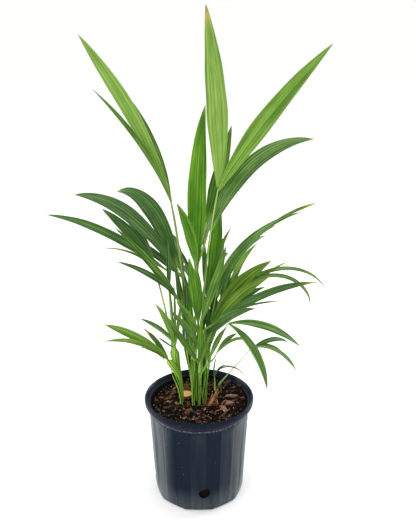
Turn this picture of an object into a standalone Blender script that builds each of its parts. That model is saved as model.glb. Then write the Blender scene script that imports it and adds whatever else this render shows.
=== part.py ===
# Potted lipstick palm: a clump of slender shoots in a ribbed nursery pot, with one thin
# bladed frond to each node. Metres, +Z up, origin at the middle of the pot's flat underside.
# Bearings turn from +X (right) towards +Y (away); rises are degrees above level.

import bpy
import bmesh
from collections import namedtuple
from math import cos, pi, radians, sin
from mathutils import Vector

MM = 0.001
GAP = 0.3 * MM                   # clearance that neighbouring solids keep

# Nursery pot
POT_HEIGHT = 0.250
RIM_RADIUS = 0.128
NECK_RADIUS = 0.1155             # outside of the wall, just under the rim
NECK_HEIGHT = 0.216
FOOT_RADIUS = 0.1042             # outside of the wall, just above the rounded foot
FOOT_HEIGHT = 0.010
WALL = 0.0025
FLOOR_THICKNESS = 0.0035
LEDGE_HEIGHT = 0.238             # inner step under the rim
RIB_COUNT = 10
RIB_RELIEF = 0.002
RIB_TURN = -90.5                 # bearing of one rib's middle, nearly at the front
RAISED_COLUMNS = (-7.0, 7.0)    # degrees from a rib's middle
SUNK_COLUMNS = (9.5, 26.5)
DRAIN_RADIUS = 0.0135
DRAIN_HEIGHT = 0.050
DRAIN_BEARINGS = (-83, 7, 97, 187)

# Potting mix
MIX_LEVEL = 0.229                # level middle, where the shoots stand
MIX_LEVEL_RADIUS = 0.078
MIX_EDGE_RISE = 0.004            # how far the edge stands above the middle, all round
MIX_RIGHT_RISE = 0.005           # and how much more towards +X, less towards -X

# What is left of two dead stems: plan places in millimetres
STUB_AT = (-31, 28)
STUB_RADIUS = 0.012
STUB_HEIGHT = 0.007
DRY_STALK_FOOT = (22, -15)
DRY_STALK_TOP = (44, 8)
DRY_STALK_HEIGHT = 0.262

# Blades and stalks
BLADE_ROWS = 7
SHORT_BLADE = 110                # millimetres: a shorter leaflet has fewer rows
SHORT_BLADE_ROWS = 4
THIN_PART = 100                  # a blade's length over its thickness
THINNEST = 1.4 * MM
NARROWEST = 1.2 * MM
NARROW_BASE = 0.22               # a blade's width at the stalk over its widest
FOLD = 0.25                      # how far the edges fold down, over the half width
SHOOT_STEPS = 3
STALK_STEPS = 4
STALK_TAPER = 0.7                # a stalk's radius at its tip over that at its foot

# A shoot: foot on the mix, top in plan (both mm), height of the top, radii at foot and top
Shoot = namedtuple("Shoot", "foot top height foot_radius top_radius")
SHOOTS = {
    "shoot_far_left": Shoot((-41, -7), (-69, -15), 0.348, 2.8, 6.5),
    "shoot_left": Shoot((-39, 7), (-55, 4), 0.369, 3.2, 7.5),
    "shoot_left_tall": Shoot((-19, 4), (-31, 3), 0.433, 3.6, 8.5),
    "shoot_front": Shoot((-13, -13), (-12, -14), 0.366, 3.4, 7.5),
    "shoot_front_low": Shoot((0, -9), (4, -26), 0.341, 3.0, 5.5),
    "shoot_middle": Shoot((-4, 8), (4, 6), 0.401, 3.8, 8.0),
    "shoot_right": Shoot((15, 9), (21, -2), 0.385, 3.6, 7.5),
    "shoot_right_low": Shoot((11, -7), (22, -24), 0.351, 3.0, 6.5),
    "shoot_far_right": Shoot((52, 42), (54, 44), 0.262, 3.0, 3.6),
    "shoot_wisp": Shoot((38, 28), (37, 30), 0.258, 2.2, 2.5),
    "shoot_back": Shoot((-10, 27), (-10, 34), 0.360, 4.2, 7.0),
    "shoot_back_right": Shoot((14, 26), (22, 34), 0.340, 3.8, 6.5),
}

# A frond: its shoot, where its stalk stands on the shoot's top (mm in plan), the stalk's
# bearing, rise, fall to its tip (degrees), length and radius (mm), then its leaflets.
# A leaflet: place along the stalk, bearing, rise, fall, how late it falls (1 is evenly),
# length, width, belly (the share of its length at its widest) and roll.
Frond = namedtuple("Frond", "shoot at bearing rise fall length radius leaflets")
Leaflet = namedtuple("Leaflet", "place bearing rise fall late length width belly roll")
FRONDS = {
    "frond_crown": Frond("shoot_middle", (7, 6), 345, 89, 10, 359, 2.4, (
        Leaflet(1.00, 236, 94, 19, 0.7, 377, 43, 0.40, -146),
        Leaflet(0.98, 334, 62, 15, 0.7, 393, 37, 0.42, 101),
        Leaflet(0.72, 22, 70, 77, 1.3, 329, 35, 0.45, 62))),
    "frond_crown_back": Frond("shoot_middle", (3, 11), 20, 99, 25, 274, 1.8, (
        Leaflet(1.00, 40, 70, -2, 0.7, 215, 31, 0.40, 47),)),
    "frond_broad": Frond("shoot_middle", (0, 5), 190, 89, 2, 168, 2.4, (
        Leaflet(1.00, 64, 88, 23, 3, 360, 41, 0.42, 26),)),
    "frond_inner": Frond("shoot_back_right", (19, 31), 300, 82, -12, 136, 1.8, (
        Leaflet(1.00, 66, 64, -21, 0.7, 255, 28, 0.45, 22),
        Leaflet(0.95, 150, 82, -7, 0.7, 168, 13, 0.50, -58),
        Leaflet(0.90, 25, 81, 31, 3, 198, 13, 0.50, 61))),
    "frond_tall_left": Frond("shoot_left_tall", (-28, 5), 152, 87, 8, 288, 2.4, (
        Leaflet(1.00, 165, 74, 23, 0.7, 398, 30, 0.58, -67),
        Leaflet(1.00, 132, 84, 49, 0.7, 264, 9, 0.40, -38),
        Leaflet(0.97, 192, 76, 30, 0.7, 302, 11, 0.50, -90))),
    "frond_left_arch": Frond("shoot_left_tall", (-35, 5), 126, 90, 19, 133, 2.0, (
        Leaflet(1.00, 142, 67, 97, 2.3, 261, 39, 0.50, -45),
        Leaflet(0.95, 168, 56, 62, 1.9, 300, 32, 0.58, -65))),
    "frond_left_front": Frond("shoot_left_tall", (-32, -2), 166, 75, -7, 64, 1.8, (
        Leaflet(1.00, 217, 59, 33, 0.7, 204, 13, 0.45, -93),
        Leaflet(0.90, 205, 63, 15, 0.7, 247, 17, 0.33, -94))),
    "frond_left_reach": Frond("shoot_left", (-55, 6), 175, 84, -4, 194, 1.8, (
        Leaflet(1.00, 188, 40, 31, 1.9, 295, 19, 0.50, -74),
        Leaflet(0.75, 99, 99, 17, 0.9, 122, 11, 0.50, -6))),
    "frond_left_fan": Frond("shoot_left", (-60, 6), 150, 81, 9, 202, 1.8, (
        Leaflet(1.00, 160, 65, 35, 0.7, 175, 24, 0.50, -58),
        Leaflet(1.00, 135, 86, 78, 0.7, 150, 12, 0.50, -39),
        Leaflet(0.93, 190, 69, 70, 0.7, 147, 5, 0.30, -74))),
    "frond_spear": Frond("shoot_front", (-14, -11), 40, 83, -8, 214, 1.8, (
        Leaflet(1.00, 231, 86, 29, 0.7, 171, 24, 0.40, -133),)),
    "frond_young": Frond("shoot_front", (-8, -16), 45, 79, -9, 78, 1.8, (
        Leaflet(1.00, 243, 79, 9, 3, 176, 22, 0.50, -149),
        Leaflet(0.90, 291, 77, -39, 1.7, 145, 14, 0.50, 159))),
    "frond_front_low": Frond("shoot_front_low", (2, -29), 190, 93, 1, 77, 1.6, (
        Leaflet(0.10, 227, 56, -5, 3, 189, 14, 0.50, -113),
        Leaflet(0.50, 224, 68, 20, 0.7, 162, 13, 0.50, -112),
        Leaflet(0.98, 226, 64, 12, 0.7, 137, 14, 0.50, -115))),
    "frond_front_spear": Frond("shoot_front_low", (5, -23), 225, 93, 8, 109, 1.8, (
        Leaflet(1.00, 317, 68, -7, 3, 217, 19, 0.45, 123),)),
    "frond_right_long": Frond("shoot_right", (24, 1), 18, 87, 11, 131, 1.8, (
        Leaflet(1.00, 21, 84, 77, 0.7, 277, 22, 0.35, 59),
        Leaflet(0.97, 29, 73, 68, 0.7, 329, 3.5, 0.50, 54))),
    "frond_right_mid": Frond("shoot_right", (18, 2), 60, 67, 4, 100, 1.8, (
        Leaflet(1.00, 20, 69, 57, 2, 197, 18, 0.40, 61),
        Leaflet(0.45, 75, 58, -13, 1.3, 112, 14, 0.50, 13))),
    "frond_right_front": Frond("shoot_right", (26, -4), 8, 69, 1, 100, 1.8, (
        Leaflet(1.00, 315, 77, 35, 1.5, 199, 14, 0.45, 123),
        Leaflet(0.75, 313, 92, 25, 0.7, 132, 17, 0.50, 131))),
    "frond_right_broad": Frond("shoot_right", (20, -7), 328, 77, 0, 41, 1.8, (
        Leaflet(1.00, 340, 73, 38, 1, 236, 23, 0.50, 92),
        Leaflet(1.00, 330, 63, 30, 1.1, 217, 23, 0.55, 96),
        Leaflet(0.95, 355, 71, 42, 0.7, 248, 14, 0.65, 76),
        Leaflet(0.90, 4, 67, 129, 1.7, 350, 5, 0.50, 68),
        Leaflet(0.90, 350, 67, 159, 2.1, 334, 6, 0.70, 77))),
    "frond_right_low": Frond("shoot_right_low", (19, -27), 240, 85, 12, 90, 1.8, (
        Leaflet(1.00, 346, 42, 34, 1.8, 290, 17, 0.55, 75),
        Leaflet(0.55, 330, 79, 59, 0.7, 176, 20, 0.50, 92),
        Leaflet(0.20, 20, 90, 37, 0.7, 80, 11, 0.50, 62))),
    "frond_right_weeping": Frond("shoot_right_low", (24, -21), 359, 77, 23, 106, 1.8, (
        Leaflet(1.00, 14, 9, 57, 0.7, 197, 18, 0.45, 70),
        Leaflet(1.00, 334, -16, 68, 0.7, 183, 18, 0.45, 56),
        Leaflet(0.10, 350, 73, 19, 1.5, 88, 12, 0.50, 88))),
    "frond_right_small": Frond("shoot_right_low", (27, -26), 20, 36, -35, 25, 1.4, (
        Leaflet(1.00, 43, 44, 49, 1.4, 74, 11, 0.50, 42),
        Leaflet(1.00, 28, 40, 137, 1.8, 117, 7, 0.50, 55))),
    "frond_right_thin": Frond("shoot_back_right", (25, 32), 313, 88, 21, 94, 1.4, (
        Leaflet(1.00, 26, 38, 36, 2.1, 146, 17, 0.50, 54),
        Leaflet(0.95, 14, 44, 52, 0.7, 172, 5, 0.50, 61))),
    "frond_far_right": Frond("shoot_far_right", (55, 44), 357, 53, 1, 106, 1.4, (
        Leaflet(1.00, 340, 55, 122, 0.7, 142, 9, 0.60, 60),
        Leaflet(1.00, 19, 28, 71, 1.8, 106, 12, 0.50, 57),
        Leaflet(0.96, 3, 67, 132, 0.7, 110, 4, 0.50, 63))),
    "frond_wisp": Frond("shoot_wisp", (37, 30), 40, 92, 0, 25, 1.2, (
        Leaflet(1.00, 29, 82, 115, 1, 55, 3, 0.50, 49),
        Leaflet(1.00, 345, 76, 154, 1.1, 105, 3.2, 0.50, 66),
        Leaflet(0.90, 60, 119, 67, 0.7, 57, 3, 0.50, 28))),
    "frond_low_left": Frond("shoot_far_left", (-69, -15), 193, 56, 0, 12, 1.8, (
        Leaflet(1.00, 206, 52, 24, 0.8, 184, 19, 0.55, -80),
        Leaflet(1.00, 216, 46, 40, 1.4, 183, 11, 0.50, -81),
        Leaflet(0.80, 232, 41, 15, 2.3, 108, 5, 0.50, -95),
        Leaflet(0.60, 165, 71, 32, 0.7, 91, 11, 0.50, -59))),
    "frond_low_left_back": Frond("shoot_left", (-56, -1), 165, 88, 0, 20, 1.4, (
        Leaflet(0.90, 190, 66, 40, 0.7, 105, 11, 0.50, -75),
        Leaflet(0.30, 205, 42, -2, 1, 57, 4, 0.50, -82),
        Leaflet(1.00, 175, 74, 28, 2.6, 106, 13, 0.50, -74))),
    "frond_left_inner": Frond("shoot_back", (-14, 31), 200, 77, 0, 32, 1.6, (
        Leaflet(1.00, 110, 84, 5, 1, 134, 16, 0.50, -18),)),
    "frond_back_left": Frond("shoot_back", (-14, 37), 125, 84, 14, 170, 1.8, (
        Leaflet(1.00, 128, 52, 50, 2.3, 268, 24, 0.50, -34),
        Leaflet(0.95, 160, 46, 26, 0.7, 194, 18, 0.50, -59),
        Leaflet(0.90, 103, 45, 60, 1.2, 200, 24, 0.50, -10))),
    "frond_back": Frond("shoot_back", (-8, 37), 92, 84, 16, 220, 2.0, (
        Leaflet(1.00, 92, 50, 75, 1.2, 250, 32, 0.45, 0),
        Leaflet(0.92, 72, 45, 70, 1.2, 220, 26, 0.45, 15),
        Leaflet(0.70, 115, 35, 50, 1.2, 200, 22, 0.50, -15))),
    "frond_back_low": Frond("shoot_back", (-7, 31), 71, 75, 20, 120, 1.6, (
        Leaflet(1.00, 70, 40, 60, 1.2, 200, 24, 0.45, 15),
        Leaflet(0.85, 108, 38, 60, 1.2, 180, 20, 0.50, -10))),
    "frond_back_right": Frond("shoot_back_right", (21, 37), 58, 79, 13, 169, 1.8, (
        Leaflet(1.00, 48, 61, 64, 0.7, 238, 18, 0.40, 43),
        Leaflet(0.50, 26, 61, 48, 0.9, 172, 24, 0.50, 54),
        Leaflet(0.90, 85, 45, 65, 1.2, 220, 24, 0.45, 5))),
}


def to_bearing(bearing):
    return Vector((cos(radians(bearing)), sin(radians(bearing)), 0.0))


def arc_frame(start, bearing, rise, fall, length, share, late=1.0, steps=24):
    # Point, direction, level sideways and upper normal, a share of the way along an arc
    # that leaves at one rise and has lost the fall by its end, most of it late in its length.
    outwards = to_bearing(bearing)
    point = start.copy()
    for step in range(steps):
        angle = radians(rise - fall * (share * (step + 0.5) / steps) ** late)
        point += (outwards * cos(angle) + Vector((0, 0, sin(angle)))) * (length * share / steps)
    angle = radians(rise - fall * share ** late)
    along = outwards * cos(angle) + Vector((0, 0, sin(angle)))
    sideways = to_bearing(bearing + 90)
    return point, along, sideways, along.cross(sideways)


def new_material(name, color, roughness):
    material = bpy.data.materials.new(name)
    material.use_nodes = True
    shader = material.node_tree.nodes["Principled BSDF"]
    shader.inputs["Base Color"].default_value = (*color, 1.0)
    shader.inputs["Roughness"].default_value = roughness
    return material


def add_object(name, data, collection, material):
    added = bpy.data.objects.new(name, data)
    data.materials.append(material)
    collection.objects.link(added)
    return added


def as_mesh(source, collection, material):
    # Replace an object by the mesh it shows, with a curve's loose caps welded on
    depsgraph = bpy.context.evaluated_depsgraph_get()
    mesh = bpy.data.meshes.new_from_object(source.evaluated_get(depsgraph))
    shape = bmesh.new()
    shape.from_mesh(mesh)
    bmesh.ops.remove_doubles(shape, verts=shape.verts, dist=0.00001)
    shape.to_mesh(mesh)
    shape.free()
    name = source.name
    matrix = source.matrix_world.copy()
    bpy.data.objects.remove(source)
    mesh.materials.clear()
    made = add_object(name, mesh, collection, material)
    made.matrix_world = matrix
    return made


def tube(name, points, radii, sides, collection, material):
    # sides is 4, 6 or 8
    curve = bpy.data.curves.new(name, "CURVE")
    curve.dimensions = "3D"
    curve.bevel_depth = 1.0
    curve.bevel_resolution = sides // 2 - 2
    curve.use_fill_caps = True
    spline = curve.splines.new("POLY")
    spline.points.add(len(points) - 1)
    for control, point, radius in zip(spline.points, points, radii):
        control.co = (*point, 1.0)
        control.radius = radius
    return as_mesh(add_object(name, curve, collection, material), collection, material)


def apply_modifiers(changed):
    bpy.context.view_layer.objects.active = changed
    for modifier in list(changed.modifiers):
        bpy.ops.object.modifier_apply(modifier=modifier.name)


def column_bearings():
    pitch = 360 / RIB_COUNT
    bearings = []
    for rib in range(RIB_COUNT):
        for column in RAISED_COLUMNS + SUNK_COLUMNS:
            bearings.append((RIB_TURN + rib * pitch + column, column in RAISED_COLUMNS))
    return bearings


def turned(name, profile, collection, material):
    # A profile of (radius, height) points turned about Z, with its columns moved to the
    # pot's rib edges. Returns the object and whether each column is a raised one.
    columns = column_bearings()
    mesh = bpy.data.meshes.new(name)
    points = [(radius, 0, height) for radius, height in profile]
    mesh.from_pydata(points, [(i, i + 1) for i in range(len(points) - 1)], [])
    turning = add_object(name, mesh, collection, material)
    screw = turning.modifiers.new("Turn", "SCREW")
    screw.steps = len(columns)
    screw.render_steps = len(columns)
    screw.use_merge_vertices = True
    screw.merge_threshold = 0.00001
    made = as_mesh(turning, collection, material)
    for vertex in made.data.vertices:
        radius = (vertex.co.x ** 2 + vertex.co.y ** 2) ** 0.5
        if radius < 0.001:
            continue
        turn = Vector((vertex.co.x, vertex.co.y)).angle_signed(Vector((1, 0)))
        bearing, raised = columns[round(turn / (2 * pi) * len(columns)) % len(columns)]
        height = vertex.co.z
        vertex.co = to_bearing(bearing) * radius
        vertex.co.z = height
    return made


def wall_radius(height):
    share = (height - FOOT_HEIGHT) / (NECK_HEIGHT - FOOT_HEIGHT)
    return FOOT_RADIUS + (NECK_RADIUS - FOOT_RADIUS) * share


def bore_radius(height):
    return wall_radius(height) - WALL


def build_pot(collection, cutters, material):
    rib_top = NECK_HEIGHT - 0.008
    rib_foot = FOOT_HEIGHT + 0.006
    profile = [
        (0.0, FLOOR_THICKNESS),
        (bore_radius(0) - 0.002, FLOOR_THICKNESS),
        (bore_radius(FOOT_HEIGHT), FOOT_HEIGHT),
        (bore_radius(LEDGE_HEIGHT), LEDGE_HEIGHT),
        (RIM_RADIUS - 0.009, LEDGE_HEIGHT + 0.002),
        (RIM_RADIUS - 0.007, POT_HEIGHT - 0.002),
        (RIM_RADIUS - 0.004, POT_HEIGHT),
        (RIM_RADIUS, POT_HEIGHT - 0.004),
        (RIM_RADIUS - 0.0005, POT_HEIGHT - 0.013),
        (RIM_RADIUS - 0.006, POT_HEIGHT - 0.025),
        (NECK_RADIUS + 0.002, NECK_HEIGHT + 0.004),
        (NECK_RADIUS, NECK_HEIGHT),
        (wall_radius(rib_top), rib_top),
        (wall_radius(rib_foot), rib_foot),
        (FOOT_RADIUS, FOOT_HEIGHT),
        (FOOT_RADIUS - 0.002, 0.003),
        (FOOT_RADIUS - 0.005, 0.0),
        (0.0, 0.0),
    ]
    pot = turned("pot", profile, collection, material)
    raised = [bearing for bearing, is_raised in column_bearings() if is_raised]
    for vertex in pot.data.vertices:
        on_wall = rib_foot - 1e-5 < vertex.co.z < rib_top + 1e-5
        flat = Vector((vertex.co.x, vertex.co.y, 0))
        facing = max(flat.normalized().dot(to_bearing(bearing)) for bearing in raised)
        if on_wall and flat.length > bore_radius(vertex.co.z) + WALL / 2 and facing > 0.99999:
            vertex.co += flat.normalized() * RIB_RELIEF
    for index, bearing in enumerate(DRAIN_BEARINGS):
        bpy.ops.mesh.primitive_cylinder_add(
            vertices=16, radius=DRAIN_RADIUS, depth=0.02,
            location=to_bearing(bearing) * wall_radius(DRAIN_HEIGHT)
            + Vector((0, 0, DRAIN_HEIGHT)),
            rotation=(0, pi / 2, radians(bearing)))
        cutter = bpy.context.object
        cutter.name = f"drain_cutter_{index}"
        move_to(cutter, cutters)
    drain = pot.modifiers.new("Drain holes", "BOOLEAN")
    drain.operation = "DIFFERENCE"
    drain.operand_type = "COLLECTION"
    drain.collection = cutters
    apply_modifiers(pot)
    for cutter in list(cutters.objects):
        bpy.data.objects.remove(cutter)
    return pot


def move_to(moved, collection):
    for holder in list(moved.users_collection):
        holder.objects.unlink(moved)
    collection.objects.link(moved)


def build_mix(collection, material):
    foot = FLOOR_THICKNESS + GAP
    edge_level = MIX_LEVEL + MIX_EDGE_RISE
    profile = [
        (0.0, MIX_LEVEL),
        (MIX_LEVEL_RADIUS, MIX_LEVEL),
        (bore_radius(edge_level - 0.002) - 2 * GAP, edge_level),
        (bore_radius(FOOT_HEIGHT) - 2 * GAP, FOOT_HEIGHT),
        (bore_radius(0) - 0.002 - 2 * GAP, foot),
        (0.0, foot),
    ]
    mix = turned("potting_mix", profile, collection, material)
    for vertex in mix.data.vertices:
        if vertex.co.z > MIX_LEVEL + MIX_EDGE_RISE / 2:
            vertex.co.z += MIX_RIGHT_RISE * vertex.co.x / bore_radius(edge_level)
    return mix


def build_shoot(name, shoot, collection, material):
    # A gentle S from its foot to its top, upright at both ends so that the ends are level
    foot = Vector((*shoot.foot, 0)) * MM
    top = Vector((*shoot.top, 0)) * MM
    low = MIX_LEVEL + GAP
    upright = 0.004
    points = [foot + Vector((0, 0, low))]
    radii = [shoot.foot_radius * MM]
    for step in range(SHOOT_STEPS + 1):
        share = step / SHOOT_STEPS
        ease = share * share * (3 - 2 * share)
        height = low + upright + (shoot.height - low - 2 * upright) * share
        points.append(foot.lerp(top, ease) + Vector((0, 0, height)))
        radii.append((shoot.foot_radius + (shoot.top_radius - shoot.foot_radius) * share) * MM)
    points.append(top + Vector((0, 0, shoot.height)))
    radii.append(shoot.top_radius * MM)
    return tube(name, points, radii, 6, collection, material)


def build_stub(collection, material):
    # The pale cut face of a stem that was taken out
    bottom = MIX_LEVEL + GAP
    bpy.ops.mesh.primitive_cylinder_add(
        vertices=16, radius=STUB_RADIUS, depth=STUB_HEIGHT,
        location=(*(Vector(STUB_AT) * MM), bottom + STUB_HEIGHT / 2))
    stub = bpy.context.object
    stub.name = "cut_stub"
    bpy.ops.object.transform_apply(location=True, rotation=False, scale=False)
    bevel = stub.modifiers.new("Worn edge", "BEVEL")
    bevel.width = 0.0012
    bevel.segments = 1
    apply_modifiers(stub)
    stub.data.materials.append(material)
    move_to(stub, collection)


def build_dry_stalk(collection, material):
    # A dead stalk that leans out of the mix, split and narrow at its top
    foot = Vector((*DRY_STALK_FOOT, 0)) * MM
    top = Vector((*DRY_STALK_TOP, 0)) * MM
    level = MIX_LEVEL + GAP
    upright = Vector((0, 0, 0.003))
    points = [foot + Vector((0, 0, level)), foot + upright + Vector((0, 0, level))]
    radii = [0.0042, 0.0042]
    for step in range(1, 4):
        share = step / 3
        height = level + upright.z + (DRY_STALK_HEIGHT - level) * share
        points.append(foot.lerp(top, share) + Vector((0, 0, height)))
        radii.append(0.0042 - 0.0018 * share)
    tube("dry_stalk", points, radii, 6, collection, material)


def blade_half_width(share, width, belly):
    # Narrow at the stalk, widest at the belly, drawn out to a fine tip
    if share < belly:
        part = NARROW_BASE + (1 - NARROW_BASE) * sin(share / belly * pi / 2)
    else:
        part = max(cos((share - belly) / (1 - belly) * pi / 2), 0.0) ** 0.8
    return max(width / 2 * part, NARROWEST / 2)


def build_blade(name, start, leaflet, collection, material):
    # A grid bent along the leaflet's arc, folded up a little at its rib, and thickened
    length = leaflet.length * MM
    width = leaflet.width * MM
    rows = SHORT_BLADE_ROWS if leaflet.length < SHORT_BLADE else BLADE_ROWS
    mesh = bpy.data.meshes.new(name)
    shape = bmesh.new()
    bmesh.ops.create_grid(shape, x_segments=2, y_segments=rows, size=1.0)
    for vertex in shape.verts:
        across = vertex.co.x
        share = (vertex.co.y + 1) / 2
        point, along, sideways, upper = arc_frame(
            start, leaflet.bearing, leaflet.rise, leaflet.fall, length, share, leaflet.late)
        turn = radians(leaflet.roll)
        side = sideways * cos(turn) + upper * sin(turn)
        normal = upper * cos(turn) - sideways * sin(turn)
        half = blade_half_width(share, width, leaflet.belly)
        vertex.co = point + side * (across * half) - normal * (abs(across) * half * FOLD)
    shape.to_mesh(mesh)
    shape.free()
    blade = add_object(name, mesh, collection, material)
    solid = blade.modifiers.new("Thickness", "SOLIDIFY")
    solid.thickness = max(length / THIN_PART, THINNEST)
    solid.offset = 0
    return as_mesh(blade, collection, material)


def build_frond(name, frond, collection, leaves, material):
    # One stalk with its leaflets' roots sunk in it, joined into one body
    lift = GAP + frond.radius * MM * abs(cos(radians(frond.rise)))
    foot = Vector((frond.at[0] * MM, frond.at[1] * MM, SHOOTS[frond.shoot].height + lift))
    length = frond.length * MM
    steps = 3 if frond.length < SHORT_BLADE else STALK_STEPS
    points = []
    radii = []
    for step in range(steps + 1):
        share = step / steps
        points.append(arc_frame(foot, frond.bearing, frond.rise, frond.fall, length, share)[0])
        radii.append(frond.radius * MM * (1 - (1 - STALK_TAPER) * share))
    stalk = tube(name, points, radii, 4, collection, material)
    for index, leaflet in enumerate(frond.leaflets):
        start, along, _, _ = arc_frame(
            foot, frond.bearing, frond.rise, frond.fall, length, leaflet.place)
        build_blade(f"{name}_leaflet_{index}", start - along * (1.5 * MM), leaflet,
                    leaves, material)
    join = stalk.modifiers.new("Join leaflets", "BOOLEAN")
    join.operation = "UNION"
    join.operand_type = "COLLECTION"
    join.collection = leaves
    apply_modifiers(stalk)
    for leaf in list(leaves.objects):
        bpy.data.objects.remove(leaf)
    return stalk


def main():
    for old in list(bpy.data.objects):
        bpy.data.objects.remove(old)
    palm = bpy.data.collections.new("potted_lipstick_palm")
    cutters = bpy.data.collections.new("cutters")
    leaves = bpy.data.collections.new("leaflets")
    for collection in (palm, cutters, leaves):
        bpy.context.scene.collection.children.link(collection)

    pot_plastic = new_material("navy_black_polyethylene", (0.012, 0.016, 0.028), 0.45)
    bark_mix = new_material("bark_potting_mix", (0.030, 0.018, 0.012), 0.95)
    sheath = new_material("green_leaf_sheath", (0.14, 0.32, 0.05), 0.5)
    cut_wood = new_material("pale_cut_palm_stem", (0.52, 0.30, 0.10), 0.8)
    dry_brown = new_material("dry_leaf_sheath", (0.26, 0.12, 0.04), 0.85)
    frond_green = new_material("palm_leaf_green", (0.10, 0.27, 0.05), 0.45)

    build_pot(palm, cutters, pot_plastic)
    build_mix(palm, bark_mix)
    build_stub(palm, cut_wood)
    build_dry_stalk(palm, dry_brown)
    for name, shoot in SHOOTS.items():
        build_shoot(name, shoot, palm, sheath)
    for name, frond in FRONDS.items():
        build_frond(name, frond, palm, leaves, frond_green)


main()
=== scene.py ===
import math

import bpy
import numpy as np
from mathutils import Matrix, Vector, noise


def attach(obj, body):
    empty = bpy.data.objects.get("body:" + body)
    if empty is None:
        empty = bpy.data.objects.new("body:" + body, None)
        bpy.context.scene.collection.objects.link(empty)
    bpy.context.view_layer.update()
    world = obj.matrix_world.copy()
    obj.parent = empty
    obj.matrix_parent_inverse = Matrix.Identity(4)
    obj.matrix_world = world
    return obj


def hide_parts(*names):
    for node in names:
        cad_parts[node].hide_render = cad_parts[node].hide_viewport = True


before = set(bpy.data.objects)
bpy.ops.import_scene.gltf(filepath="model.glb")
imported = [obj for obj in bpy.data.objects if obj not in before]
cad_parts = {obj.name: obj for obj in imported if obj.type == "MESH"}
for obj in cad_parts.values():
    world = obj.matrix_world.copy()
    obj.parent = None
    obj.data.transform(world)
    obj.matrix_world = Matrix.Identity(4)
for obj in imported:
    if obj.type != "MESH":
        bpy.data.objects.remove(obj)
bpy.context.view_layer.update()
mm = 0.001
chance = np.random.default_rng(41)        # every scattered thing draws from this one


# Small helpers

def levelsOf(hexColor):
    return [int(hexColor[i:i + 2], 16) for i in (0, 2, 4)]


def hexOf(levels):
    return "".join(f"{min(255, round(level)):02x}" for level in levels)


def linearColor(hexColor):
    channels = [level / 255 for level in levelsOf(hexColor)]
    return (*[c / 12.92 if c <= 0.04045 else ((c + 0.055) / 1.055) ** 2.4 for c in channels], 1)


def addNode(tree, kind, settings=None, inputs=None):
    # One node with its settings, its values and its links
    node = tree.nodes.new(kind)
    for name, value in (settings or {}).items():
        setattr(node, name, value)
    for name, value in (inputs or {}).items():
        if isinstance(value, bpy.types.NodeSocket):
            tree.links.new(value, node.inputs[name])
        else:
            node.inputs[name].default_value = value
    return node


def newSurface(name, baseColor, roughness, values=None):
    # A Principled material with its constants on the shader's own sockets
    material = bpy.data.materials.new(name)
    material.use_nodes = True
    tree = material.node_tree
    shader = tree.nodes["Principled BSDF"]
    shader.inputs["Base Color"].default_value = linearColor(baseColor)
    shader.inputs["Roughness"].default_value = roughness
    for socket, value in (values or {}).items():
        shader.inputs[socket].default_value = value
    return material, tree, shader


def editMode():
    bpy.ops.object.mode_set(mode="EDIT")


def objectMode():
    bpy.ops.object.mode_set(mode="OBJECT")


def applyPlace():
    bpy.ops.object.transform_apply(location=True, rotation=False, scale=False)


def pickAll():
    bpy.ops.mesh.select_all(action="SELECT")


def riseThrough(rings):
    # Extrude what is picked from ring to ring, each given by its radius and height
    for (radius, height), (nextRadius, nextHeight) in zip(rings, rings[1:]):
        bpy.ops.mesh.extrude_region_move(
            TRANSFORM_OT_translate={"value": (0, 0, nextHeight - height)})
        grow = nextRadius / radius
        bpy.ops.transform.resize(value=(grow, grow, 1), center_override=(0, 0, nextHeight))


def deselectAll():
    if bpy.context.mode != "OBJECT":
        objectMode()
    bpy.ops.object.select_all(action="DESELECT")


def activate(*objects):
    deselectAll()
    for item in objects:
        item.select_set(True)
    bpy.context.view_layer.objects.active = objects[0]


def applyModifier(item, kind, **settings):
    activate(item)
    modifier = item.modifiers.new(kind.title(), kind)
    for name, value in settings.items():
        setattr(modifier, name, value)
    bpy.ops.object.modifier_apply(modifier=modifier.name)


def joinPieces(name, objects):
    activate(*objects)
    if len(objects) > 1:
        bpy.ops.object.join()
    joined = bpy.context.object
    joined.name = name
    joined.data.name = name
    return joined


def copyOf(master, name):
    copied = master.copy()
    copied.data = master.data.copy()
    copied.name = name
    bpy.context.scene.collection.objects.link(copied)
    return copied


def readPlaces(mesh):
    places = np.empty(len(mesh.vertices) * 3)
    mesh.vertices.foreach_get("co", places)
    return places.reshape(-1, 3)


def writePlaces(mesh, places):
    mesh.vertices.foreach_set("co", np.ascontiguousarray(places, dtype=float).ravel())
    mesh.update()


def smoothStep(low, high, value):
    t = np.clip((value - low) / (high - low), 0, 1)
    return t * t * (3 - 2 * t)


def smoothBelow(item, sharpOver):
    # Smooth all edges but those that turn by more than this angle
    activate(item)
    bpy.ops.object.shade_smooth_by_angle(angle=math.radians(sharpOver))


def dress(piece, slot, *nodes):
    # Hand a finished piece to the frame
    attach(piece, "root")
    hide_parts(*nodes)


def spread(tree, value, low, high, most=1.0, least=0.0, kind="SMOOTHSTEP"):
    # A value carried from one range to another, with a soft start and end unless it is linear
    return addNode(tree, "ShaderNodeMapRange", {"interpolation_type": kind}, {
        "Value": value, "From Min": low, "From Max": high, "To Min": least,
        "To Max": most}).outputs["Result"]


def reckon(tree, operation, *values):
    # One step of arithmetic on numbers or links
    return addNode(tree, "ShaderNodeMath", {"operation": operation},
                   dict(enumerate(values))).outputs["Value"]


def blend(tree, share, low, high):
    # From one colour to another, each in hex or by a link
    ends = [linearColor(end) if isinstance(end, str) else end for end in (low, high)]
    return addNode(tree, "ShaderNodeMix", {"data_type": "RGBA"}, {
        "Factor": share, 6: ends[0], 7: ends[1]}).outputs[2]


def blendLevels(tree, share, low, high):
    return addNode(tree, "ShaderNodeMix", {"data_type": "FLOAT"}, {
        "Factor": share, 2: low, 3: high}).outputs[0]


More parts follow.
